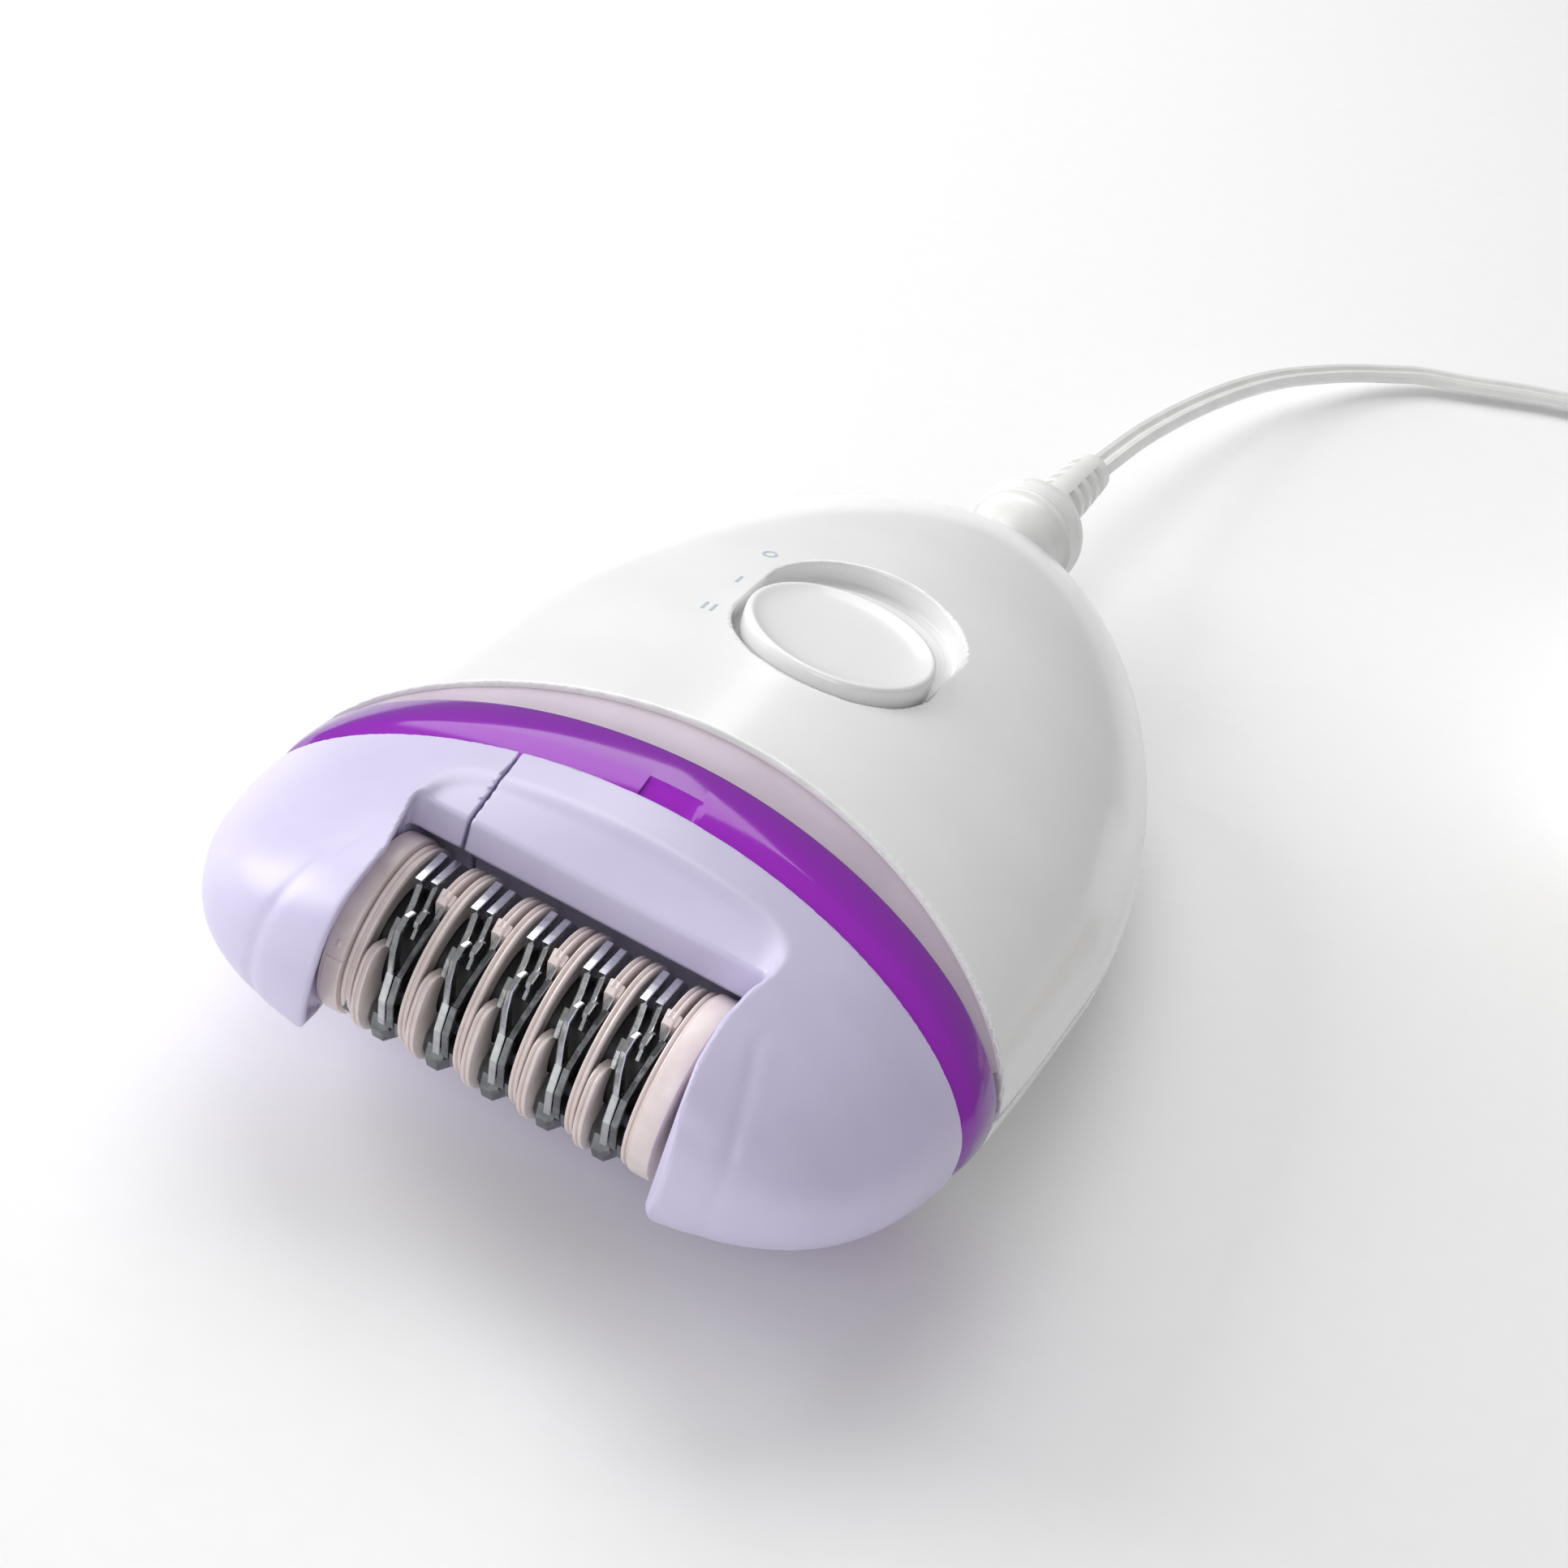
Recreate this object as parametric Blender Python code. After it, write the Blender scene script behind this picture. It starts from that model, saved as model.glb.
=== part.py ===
"""A corded epilator lying on its back: tweezer head towards -Y, supply lead towards +Y, switch face up.

Every size below is in millimetres; link_mesh turns them into metres.
"""
import bmesh
import bpy
import numpy as np
from mathutils import Matrix, Vector

MM = 0.001
GAP = 0.3  # clearance between neighbouring solids

# Outer skin: a superellipse section whose size follows a superellipse plan, bent a little along Y.
HALF_WIDTH = 34.5
TOP_HEIGHT, BOTTOM_DEPTH = 17.7, 12.2
TOP_POWER, BOTTOM_POWER = 1.9, 2.9
WIDEST_Y = -0.45
TAIL_LENGTH, TAIL_POWER = 63.7, 1.8
HEAD_LENGTH, HEAD_POWER = 56.8, 4.5
AXIS_Z = 12.5
BEND_SPAN = 55.2
WALL = 2.0
TAIL_END = 57.25
NOSE_V = 1.553  # the last skin station before the nose closes, in radians

# Edges that run round the body: y in the middle, and how far it falls back at the sides.
LIP_EDGE = (-15.95, -9.3)
RING_REAR = (-21.75, -4.5)
RING_FRONT = (-29.45, -4.0)
SHELL_REAR_EDGE = (RING_REAR[0] + GAP, RING_REAR[1])
HEAD_REAR_EDGE = (RING_FRONT[0] - GAP, RING_FRONT[1])

# Tweezer cylinder
BARREL_Y, BARREL_Z = -43.4, 17.2
BARREL_RADIUS = 7.7
BARREL_ENDS = (-16.9, 13.7)
BAY_ENDS = (-17.2, 14.7)
BAY_RADIUS = 8.5
DRUM_RADIUS = 4.2
GROUPS, GROUP_PITCH, FIRST_GROUP_X = 5, 5.17, -13.6
END_RING_WIDTH = 1.9
OPENING_HALF = 15.0
UPPER_LIP = (-39.45, 27.2)  # (y, z) of the opening's edge behind the barrel
SCOOP = ((-39.85, 27.9), (-33.15, 31.4))  # the slope from that edge up to the skin
LOWER_LIP_Y = -41.75
HOLLOW_Y = -32.6  # the head is hollow behind this line, and beside the bay
SEAM = ((-15.2, -15.75), (-12.6, -33.75), (-10.8, -75.0))
AXLE_RADIUS = 1.0

# Gears: teeth, all of one module, about axes along X
MODULE = 0.6
PINION_TEETH, BIG_TEETH, SMALL_TEETH, DRIVE_TEETH, BARREL_TEETH = 10, 26, 12, 24, 18
GEAR_Z = 16.4
OUTER_GEARS_X = (-21.8, -19.0)
INNER_GEARS_X = (-18.4, -16.2)

# Switch: an oval button sliding in a longer recess
SWITCH_TILT = np.radians(-3.0)
BUTTON_HALF = (9.2, 8.4)
BUTTON_Y = 5.95
SWITCH_TRAVEL = 7.0
RECESS_MARGIN = 0.65

SCREW_HEADS = ((0.0, 41.25, 2.1), (-20.0, -5.75, 2.6), (20.0, -5.75, 2.6))

# Supply lead
PLUG_START = Vector((0.0, 58.25, 13.4))
PLUG_TILT = np.radians(-4.0)
BOOT_START, BOOT_END = 16.1, 34.2
CORD_RADIUS = 1.15
COIL_CENTRE = (85.0, 170.0)
COIL_RADIUS, COIL_HALF = 19.0, (5.6, 4.4)
ADAPTER_CORNER = (74.0, 81.0)
CORD_POINTS = (
    (0.0, 93.1, 10.95), (0.3, 100.0, 10.4), (0.7, 107.0, 9.8), (1.2, 113.5, 9.1), (2.2, 122.5, 8.1),
    (3.5, 131.4, 7.1), (5.1, 140.0, 6.1), (6.9, 147.7, 5.1), (8.8, 153.8, 4.3), (10.9, 159.1, 3.6),
    (13.0, 164.0, 2.95), (15.2, 168.3, 2.4), (18.0, 172.8, 1.9), (22.0, 177.9, 1.6), (27.9, 182.4, 1.4),
    (35.1, 187.9, 1.4), (42.0, 192.2, 1.4), (49.0, 195.4, 1.4), (57.0, 197.4, 1.4), (66.0, 198.0, 1.4),
    (74.5, 197.6, 1.5), (82.0, 196.5, 1.7),
)

MATERIALS = {
    "white_gloss_plastic": ((0.92, 0.92, 0.92), 0.22, 0.0),
    "lavender_plastic": ((0.62, 0.59, 0.78), 0.34, 0.0),
    "purple_gloss_plastic": ((0.26, 0.03, 0.38), 0.16, 0.0),
    "mauve_plastic": ((0.52, 0.45, 0.52), 0.4, 0.0),
    "beige_plastic": ((0.72, 0.62, 0.61), 0.42, 0.0),
    "dark_plastic": ((0.03, 0.03, 0.035), 0.5, 0.0),
    "steel": ((0.62, 0.62, 0.62), 0.22, 1.0),
    "brass": ((0.75, 0.56, 0.25), 0.3, 1.0),
    "copper_board": ((0.05, 0.25, 0.1), 0.5, 0.0),
    "acetal_gear": ((0.85, 0.84, 0.8), 0.4, 0.0),
    "white_flexible_pvc": ((0.85, 0.85, 0.85), 0.45, 0.0),
}


def clear_scene():
    for obj in list(bpy.data.objects):
        bpy.data.objects.remove(obj)


def material(name):
    found = bpy.data.materials.get(name)
    if found:
        return found
    colour, roughness, metallic = MATERIALS[name]
    made = bpy.data.materials.new(name)
    made.use_nodes = True
    shader = made.node_tree.nodes["Principled BSDF"]
    shader.inputs["Base Color"].default_value = (*colour, 1.0)
    shader.inputs["Roughness"].default_value = roughness
    shader.inputs["Metallic"].default_value = metallic
    return made


def joint_empty(name, place, parent=None):
    empty = bpy.data.objects.new(name, None)
    bpy.context.scene.collection.objects.link(empty)
    empty.location = Vector(place) * MM
    empty.parent = parent
    return empty


def link_mesh(name, mesh_data, material_name, centre=(0, 0, 0), turn=None, parent=None, smooth=True):
    """An object from a bmesh in millimetres, placed at centre and turned by a rotation matrix."""
    bmesh.ops.recalc_face_normals(mesh_data, faces=mesh_data.faces)
    mesh_data.transform(Matrix.Scale(MM, 4))
    mesh = bpy.data.meshes.new(name)
    mesh_data.to_mesh(mesh)
    mesh_data.free()
    if smooth:
        mesh.shade_smooth()
        mesh.set_sharp_from_angle(angle=np.radians(32))
    obj = bpy.data.objects.new(name, mesh)
    bpy.context.scene.collection.objects.link(obj)
    offset = parent.location if parent else Vector((0, 0, 0))
    obj.location = Vector(centre) * MM - offset
    if turn is not None:
        obj.rotation_euler = turn.to_euler()
    obj.parent = parent
    mesh.materials.append(material(material_name))
    return obj


def boolean(obj, cutter, operation="DIFFERENCE"):
    """Applies a cut or a join, and drops the helper."""
    modifier = obj.modifiers.new(operation.lower(), "BOOLEAN")
    modifier.operation = operation
    modifier.object = cutter
    graph = bpy.context.evaluated_depsgraph_get()
    result = bpy.data.meshes.new_from_object(obj.evaluated_get(graph))
    obj.modifiers.clear()
    obj.data = result
    bpy.data.objects.remove(cutter)


# ---- plain shapes, as bmeshes in millimetres ----

def box_shape(low, high):
    mesh = bmesh.new()
    bmesh.ops.create_cube(mesh, size=1.0)
    size = Vector(high) - Vector(low)
    for vertex in mesh.verts:
        vertex.co = Vector(low) + Vector((vertex.co[i] + 0.5) * size[i] for i in range(3))
    return mesh


def turned_shape(profile, steps):
    """A closed (radius, along) profile turned about X. A profile point at radius 0 lies on the axis."""
    mesh = bmesh.new()
    angles = np.linspace(0, 2 * np.pi, steps, endpoint=False)
    rings = []
    for radius, along in profile:
        if radius == 0:
            rings.append([mesh.verts.new((along, 0, 0))] * steps)
        else:
            rings.append([mesh.verts.new((along, radius * np.cos(a), radius * np.sin(a))) for a in angles])
    for here, after in zip(rings, rings[1:] + rings[:1]):
        for j in range(steps):
            k = (j + 1) % steps
            corners = list(dict.fromkeys((here[j], here[k], after[k], after[j])))
            if len(corners) > 2:
                mesh.faces.new(corners)
    return mesh


def prism_shape(outline, low, high):
    """An outline of (a, b) points raised along X between low and high, with a as Y and b as Z."""
    mesh = bmesh.new()
    near = [mesh.verts.new((low, a, b)) for a, b in outline]
    far = [mesh.verts.new((high, a, b)) for a, b in outline]
    mesh.faces.new(near)
    mesh.faces.new(far)
    for i in range(len(outline)):
        k = (i + 1) % len(outline)
        mesh.faces.new((near[i], near[k], far[k], far[i]))
    return mesh


def slab_shape(outer, inner, around):
    """A wall between two grids of points of the same shape, closed round its second index or open."""
    mesh = bmesh.new()
    rows, columns = len(outer), len(outer[0])
    grids = [[[mesh.verts.new(p) for p in row] for row in grid] for grid in (outer, inner)]
    last = columns if around else columns - 1
    for i in range(rows - 1):
        for j in range(last):
            k = (j + 1) % columns
            for grid in grids:
                mesh.faces.new((grid[i][j], grid[i][k], grid[i + 1][k], grid[i + 1][j]))
    for i in (0, rows - 1):
        for j in range(last):
            k = (j + 1) % columns
            mesh.faces.new((grids[0][i][j], grids[0][i][k], grids[1][i][k], grids[1][i][j]))
    if not around:
        for j in (0, columns - 1):
            for i in range(rows - 1):
                mesh.faces.new((grids[0][i][j], grids[0][i + 1][j], grids[1][i + 1][j], grids[1][i][j]))
    return mesh


def filled_shape(grid):
    """A solid inside a grid of closed loops, with a fan at each end."""
    mesh = bmesh.new()
    loops = [[mesh.verts.new(p) for p in row] for row in grid]
    columns = len(loops[0])
    for here, after in zip(loops, loops[1:]):
        for j in range(columns):
            k = (j + 1) % columns
            mesh.faces.new((here[j], here[k], after[k], after[j]))
    for loop in (loops[0], loops[-1]):
        middle = mesh.verts.new(sum((v.co for v in loop), Vector()) / columns)
        for j in range(columns):
            mesh.faces.new((loop[j], loop[(j + 1) % columns], middle))
    return mesh


# ---- the outer skin ----

def plan_share(y):
    """The share of its full size that the section has at y."""
    if y > WIDEST_Y:
        reach, power = (y - WIDEST_Y) / TAIL_LENGTH, TAIL_POWER
    else:
        reach, power = (WIDEST_Y - y) / HEAD_LENGTH, HEAD_POWER
    return max(1 - min(reach, 1) ** power, 1e-6) ** (1 / power)


def skin_point(angle, y, inset):
    """A point of the skin, moved in by inset, at this angle round the section from +X."""
    c, s = np.cos(angle), np.sin(angle)
    power = TOP_POWER if s >= 0 else BOTTOM_POWER
    across = np.sign(c) * abs(c) ** (2 / power)
    up = np.sign(s) * abs(s) ** (2 / power)
    share = plan_share(y)
    bend = (y - WIDEST_Y) / BEND_SPAN
    height = (TOP_HEIGHT if s >= 0 else BOTTOM_DEPTH) * share * (1 + 0.217 * bend) - inset
    z = AXIS_Z + 2.9 * bend**2 - 3.75 * bend + height * up
    return (across * max(HALF_WIDTH * share - inset, 0.2), y, max(z, inset))


def edge_y(edge, angle):
    power = TOP_POWER if np.sin(angle) >= 0 else BOTTOM_POWER
    return edge[0] + edge[1] * abs(np.cos(angle)) ** (4 / power)


def skin_grid(angles, front, rear, rows, inset):
    """Skin points between two edges; an edge is (y in the middle, fall at the sides) or one y."""
    grid = []
    for i in range(rows + 1):
        share = i / rows
        row = []
        for angle in angles:
            y_front, y_rear = (edge_y(e, angle) if isinstance(e, tuple) else e for e in (front, rear))
            row.append(skin_point(angle, y_front + (y_rear - y_front) * share, inset))
        grid.append(row)
    return grid


def nose_grid(angles, inset, rows):
    """Skin points from the head's rear edge to the nose, spaced evenly round the plan's curve."""
    length = HEAD_LENGTH - inset
    grid = []
    for i in range(rows + 1):
        row = []
        for angle in angles:
            start_reach = (WIDEST_Y - edge_y(HEAD_REAR_EDGE, angle)) / length
            start = np.arcsin(start_reach ** (HEAD_POWER / 2))
            v = start + (NOSE_V - start) * i / rows
            y = WIDEST_Y - length * np.sin(v) ** (2 / HEAD_POWER)
            row.append(skin_point(angle, y, inset if i < rows else inset * 0.5))
        grid.append(row)
    return grid


def angles_between(first, last, steps):
    return [np.radians(a) for a in np.linspace(first, last, steps + 1)]


FULL_TURN = [np.radians(a) for a in np.linspace(0, 360, 40, endpoint=False)]


# ---- handle ----

def recess_outline(margin, steps=28):
    """The path's outline of an oval that slides from the head end to the lead end."""
    outline = []
    for i in range(steps):
        angle = 2 * np.pi * i / steps
        x = (BUTTON_HALF[0] + margin) * np.cos(angle)
        y = (BUTTON_HALF[1] + margin) * np.sin(angle)
        outline.append((x, BUTTON_Y + y + (SWITCH_TRAVEL if y > 1e-6 else 0)))
    return outline


def upright_shape(outline, low, high):
    """An (x, y) outline raised between two heights."""
    mesh = bmesh.new()
    lower = [mesh.verts.new((x, y, low)) for x, y in outline]
    upper = [mesh.verts.new((x, y, high)) for x, y in outline]
    mesh.faces.new(lower)
    mesh.faces.new(upper)
    for i in range(len(outline)):
        k = (i + 1) % len(outline)
        mesh.faces.new((lower[i], lower[k], upper[k], upper[i]))
    return mesh


def front_housing():
    angles = angles_between(0.5, 179.5, 26)
    outer = skin_grid(angles, LIP_EDGE, TAIL_END, 14, 0.0)
    inner = skin_grid(angles, LIP_EDGE, TAIL_END, 14, WALL)
    shell = link_mesh("front_housing", slab_shape(outer, inner, False), "white_gloss_plastic")
    hole = link_mesh("recess_cutter", upright_shape(recess_outline(RECESS_MARGIN), 20, 40), "dark_plastic")
    boolean(shell, hole)
    return shell


def rear_housing():
    angles = angles_between(180.6, 359.4, 26)
    outer = skin_grid(angles, SHELL_REAR_EDGE, TAIL_END, 14, 0.0)
    inner = skin_grid(angles, SHELL_REAR_EDGE, TAIL_END, 14, WALL)
    return link_mesh("rear_housing", slab_shape(outer, inner, False), "white_gloss_plastic")


def neck_band():
    """The recessed collar that shows between the front housing's lip and the ring."""
    angles = angles_between(22, 158, 20)
    front = (RING_REAR[0] + GAP, RING_REAR[1])
    rear = (LIP_EDGE[0] - GAP, LIP_EDGE[1])
    outer = skin_grid(angles, front, rear, 2, 0.7)
    inner = skin_grid(angles, front, rear, 2, 2.2)
    return link_mesh("neck_band", slab_shape(outer, inner, False), "mauve_plastic")


def accent_ring():
    outer = skin_grid(FULL_TURN, RING_FRONT, RING_REAR, 3, 0.0)
    inner = skin_grid(FULL_TURN, RING_FRONT, RING_REAR, 3, 2.4)
    ring = link_mesh("accent_ring", slab_shape(outer, inner, True), "purple_gloss_plastic")
    notch = box_shape((-2.8, RING_FRONT[0] - 2.0, 30.0), (2.8, RING_FRONT[0] + 2.5, 40.0))
    boolean(ring, link_mesh("notch_cutter", notch, "dark_plastic"))
    return ring


def switch_matrix():
    return Matrix.Rotation(SWITCH_TILT, 3, "X")


def switch_bed():
    """The tray under the recess, with a slot for the button's stem."""
    bed = link_mesh("switch_bed", upright_shape(recess_outline(RECESS_MARGIN - GAP), 25.6, 26.8),
                    "white_gloss_plastic")
    slot = ((-1.9, BUTTON_Y - 4.2), (1.9, BUTTON_Y - 4.2), (1.9, BUTTON_Y + 11.2), (-1.9, BUTTON_Y + 11.2))
    boolean(bed, link_mesh("slot_cutter", upright_shape(slot, 24, 29), "dark_plastic"))
    return bed


def motor_and_board():
    motor_y = gear_places()["pinion"][0]
    can = [(0, 14.6), (0, -12.4), (3.2, -12.4), (8.6, -12.4), (8.9, -12.1), (8.9, 14.3), (8.6, 14.6)]
    link_mesh("motor_can", turned_shape(can, 24), "steel", (0, motor_y, GEAR_Z))
    cradle = [(motor_y - 10.6, 5.8), (motor_y + 10.6, 5.8), (motor_y + 10.6, 15.0), (motor_y + 9.3, 15.0),
              (motor_y + 9.3, 7.1), (motor_y - 9.3, 7.1), (motor_y - 9.3, 15.0), (motor_y - 10.6, 15.0)]
    link_mesh("motor_cradle", prism_shape(cradle, -6.0, 10.0), "dark_plastic", smooth=False)
    link_mesh("circuit_board", box_shape((-14, 6.2, 18.2), (14, 44, 19.8)), "copper_board", smooth=False)
    link_mesh("switch_contacts", box_shape((4.5, 10.7, 20.1), (9.5, 17.7, 21.2)), "brass", smooth=False)
    detent = [(-4.0, 20.1), (-2.2, 20.1), (-0.6, 21.6), (1.0, 20.1), (9.5, 20.1), (9.5, 20.6), (1.3, 20.6),
              (-0.6, 22.3), (-2.5, 20.6), (-4.0, 20.6)]
    detent = [(a + BUTTON_Y + 5.0, b) for a, b in detent]
    link_mesh("detent_spring", prism_shape(detent, -9.2, -6.2), "steel", smooth=False)


def power_socket():
    """The block that closes the tail's mouth, with a round bore for the plug."""
    block = skin_grid(FULL_TURN, TAIL_END, TAIL_END - 10.0, 4, WALL + GAP)
    socket = link_mesh("power_socket", filled_shape(block), "dark_plastic")
    bore = turned_shape([(0, -9.4), (3.1, -9.4), (3.1, 3.0), (0, 3.0)], 20)
    boolean(socket, link_mesh("socket_bore", bore, "dark_plastic", PLUG_START, plug_turn()))


def housing_screws(shell):
    """Screws up through the rear housing, each in its own hole."""
    for number, (x, y, z) in enumerate(SCREW_HEADS, 1):
        upright = Matrix.Rotation(-np.pi / 2, 3, "Y")
        hole = turned_shape([(0, -6), (2.5, -6), (2.5, 6), (0, 6)], 16)
        boolean(shell, link_mesh("screw_hole", hole, "dark_plastic", (x, y, z), upright))
        screw = [(0, 0), (2.2, 0), (2.2, 1.4), (1.1, 1.4), (1.1, 7.0), (0, 7.0)]
        link_mesh("housing_screw_" + str(number), turned_shape(screw, 14), "steel", (x, y, z), upright)


def gear_frame():
    """Two side plates joined by a bar, holding the gear pins and the motor's face."""
    places = gear_places()
    pinion_y, drive_y = places["pinion"][0], places["drive"][0]
    frame = link_mesh("gear_frame", box_shape((-24.1, drive_y - 3.0, 12.9), (-22.7, pinion_y + 4.4, 19.9)),
                      "dark_plastic", smooth=False)
    inner = box_shape((-14.1, drive_y + 7.0, 10.6), (-12.8, pinion_y + 4.4, 22.6))
    boolean(frame, link_mesh("inner_plate", inner, "dark_plastic"), "UNION")
    bar = box_shape((-23.5, pinion_y + 3.9, 14.9), (-13.4, pinion_y + 6.0, 17.9))
    boolean(frame, link_mesh("frame_bar", bar, "dark_plastic"), "UNION")
    hole = turned_shape([(0, -16), (3.5, -16), (3.5, -10), (0, -10)], 20)
    boolean(frame, link_mesh("shaft_hole", hole, "dark_plastic", (0, pinion_y, GEAR_Z)))
    return frame


# ---- gears ----

def gear_places():
    """(y, z) of each gear's axis, worked back from the barrel by the centre distances."""
    def meshed(place, teeth, other_teeth, z):
        distance = MODULE * (teeth + other_teeth) / 2
        return (place[0] + np.sqrt(distance**2 - (z - place[1]) ** 2), z)

    barrel = (BARREL_Y, BARREL_Z)
    drive = meshed(barrel, BARREL_TEETH, DRIVE_TEETH, GEAR_Z)
    middle = meshed(drive, DRIVE_TEETH, SMALL_TEETH, GEAR_Z)
    pinion = meshed(middle, BIG_TEETH, PINION_TEETH, GEAR_Z)
    return {"barrel": barrel, "drive": drive, "middle": middle, "pinion": pinion}


def tooth_outline(teeth, phase):
    """A spur gear's outline with straight-sided teeth; phase is the angle of one tooth's middle."""
    pitch_radius = MODULE * teeth / 2
    tip, root = pitch_radius + 0.85 * MODULE, pitch_radius - 1.15 * MODULE
    step = 2 * np.pi / teeth
    outline = []
    for i in range(teeth):
        middle = phase + i * step
        for radius, share in ((root, -0.34), (tip, -0.12), (tip, 0.12), (root, 0.34)):
            angle = middle + share * step
            outline.append((radius * np.cos(angle), radius * np.sin(angle)))
    return outline


def gear_shape(teeth, phase, low, high, bore):
    """A gear between two x planes with a round bore, or none."""
    mesh = bmesh.new()
    outer = tooth_outline(teeth, phase)
    if not bore:
        mesh.free()
        return prism_shape(outer, low, high)
    inner = [(bore * np.cos(np.arctan2(b, a)), bore * np.sin(np.arctan2(b, a))) for a, b in outer]
    loops = [[mesh.verts.new((x, a, b)) for a, b in line] for x, line in
             ((low, outer), (high, outer), (high, inner), (low, inner))]
    for here, after in zip(loops, loops[1:] + loops[:1]):
        for j in range(len(outer)):
            k = (j + 1) % len(outer)
            mesh.faces.new((here[j], here[k], after[k], after[j]))
    return mesh


def toward(place, other):
    return np.arctan2(other[1] - place[1], other[0] - place[0])


def half_tooth(teeth):
    return np.pi / teeth


def gears(parents):
    places = gear_places()
    barrel, drive, middle, pinion = (places[k] for k in ("barrel", "drive", "middle", "pinion"))
    low, high = OUTER_GEARS_X
    bore = AXLE_RADIUS + GAP

    def phase_facing(own, other, other_teeth, other_phase, own_teeth):
        """The phase that puts a gap of this gear where the other gear's nearest tooth is."""
        to_own = toward(other, own)
        step = 2 * np.pi / other_teeth
        off = (other_phase - to_own + step / 2) % step - step / 2
        return toward(own, other) + half_tooth(own_teeth) - off * other_teeth / own_teeth

    barrel_phase = 0.0
    drive_phase = phase_facing(drive, barrel, BARREL_TEETH, barrel_phase, DRIVE_TEETH)
    small_phase = phase_facing(middle, drive, DRIVE_TEETH, drive_phase, SMALL_TEETH)
    big_phase = 0.0
    pinion_phase = phase_facing(pinion, middle, BIG_TEETH, big_phase, PINION_TEETH)
    link_mesh("barrel_gear", gear_shape(BARREL_TEETH, barrel_phase, low, high, bore), "acetal_gear",
              (0, *barrel), parent=parents["barrel"], smooth=False)
    link_mesh("drive_gear", gear_shape(DRIVE_TEETH, drive_phase, low, high, bore), "acetal_gear",
              (0, *drive), parent=parents["drive"], smooth=False)
    compound = link_mesh("compound_gear", gear_shape(BIG_TEETH, big_phase, *INNER_GEARS_X, bore), "acetal_gear",
                         (0, *middle), parent=parents["middle"], smooth=False)
    small = gear_shape(SMALL_TEETH, small_phase, low, INNER_GEARS_X[0] + 0.5, bore)
    boolean(compound, link_mesh("small_wheel", small, "acetal_gear", (0, *middle), parent=parents["middle"]),
            "UNION")
    link_mesh("motor_pinion", gear_shape(PINION_TEETH, pinion_phase, *INNER_GEARS_X, 1.15), "brass",
              (0, *pinion), parent=parents["pinion"], smooth=False)
    shaft = [(0, -19.1), (0.85, -19.1), (0.85, -12.8), (0, -12.8)]
    link_mesh("motor_shaft", turned_shape(shaft, 14), "steel", (0, *pinion), parent=parents["pinion"])
    pin = [(0, -22.4), (AXLE_RADIUS, -22.4), (AXLE_RADIUS, -14.4), (0, -14.4)]
    link_mesh("compound_gear_pin", turned_shape(pin, 12), "steel", (0, *middle))
    link_mesh("drive_gear_pin", turned_shape([(r, min(x, -18.5)) for r, x in pin], 12), "steel", (0, *drive))


# ---- head ----

def head_block():
    """The whole head, solid but for the barrel's bay and the hollow behind and beside it."""
    block = link_mesh("head", filled_shape(nose_grid(FULL_TURN, 0.0, 12)), "lavender_plastic")
    inside = nose_grid(FULL_TURN, WALL, 8)
    inside.insert(0, [(x, y + 2.0, z) for x, y, z in inside[0]])
    hollow = link_mesh("hollow", filled_shape(inside), "dark_plastic")
    keep = box_shape((BAY_ENDS[0] - 1.5, -70, -5), (BAY_ENDS[1] + 1.8, HOLLOW_Y, 40))
    boolean(hollow, link_mesh("bay_keep", keep, "dark_plastic"))
    boolean(block, hollow)
    left, right = BAY_ENDS
    bay = turned_shape([(0, left), (BAY_RADIUS, left), (BAY_RADIUS, right), (0, right)], 40)
    boolean(block, link_mesh("bay_cutter", bay, "dark_plastic", (0, BARREL_Y, BARREL_Z)))
    profile = [(-80, 40), (-80, 0), (LOWER_LIP_Y, 0), (LOWER_LIP_Y, BARREL_Z), UPPER_LIP, SCOOP[0], SCOOP[1],
               (SCOOP[1][0] + 7, 40)]
    front = prism_shape(profile, -OPENING_HALF, OPENING_HALF)
    boolean(block, link_mesh("front_cutter", front, "dark_plastic"))
    axle = turned_shape([(0, left - 2.5), (2.9, left - 2.5), (2.9, left + 1), (0, left + 1)], 20)
    boolean(block, link_mesh("hub_cutter", axle, "dark_plastic", (0, BARREL_Y, BARREL_Z)))
    pin = turned_shape([(0, right - 1), (1.3, right - 1), (1.3, right + 3), (0, right + 3)], 16)
    boolean(block, link_mesh("pin_cutter", pin, "dark_plastic", (0, BARREL_Y, BARREL_Z)))
    return block


def head_shells(parent):
    """The head's two housings, parted by the seam to the left of the middle."""
    for name, side, edge in (("head_left_shell", 1, -0.15), ("head_right_shell", -1, 0.15)):
        half = head_block()
        half.name = name
        outline = [(x + edge, y) for x, y in SEAM] + [(side * 60, SEAM[2][1]), (side * 60, SEAM[0][1])]
        cutter = upright_shape(outline, -10, 50)
        boolean(half, link_mesh("seam_cutter", cutter, "dark_plastic"))
        half.parent = parent
        half.location = -parent.location


def head_fittings(parent):
    place = (0, BARREL_Y, BARREL_Z)
    axle = [(0, -23.3), (AXLE_RADIUS, -23.3), (AXLE_RADIUS, 17.9), (0, 17.9)]
    link_mesh("barrel_axle", turned_shape(axle, 12), "steel", place, parent=parent)
    for side, x in (("left", -28.0), ("right", 25.0)):
        hook = [(-32.0, 14.6), (-25.0, 14.6), (-24.0, 15.6), (-24.0, 18.4), (-25.4, 18.4), (-25.4, 16.2),
                (-32.0, 16.2)]
        link_mesh("latch_hook_" + side, prism_shape(hook, x, x + 3.0), "dark_plastic", parent=parent,
                  smooth=False)


# ---- tweezer cylinder ----

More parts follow.
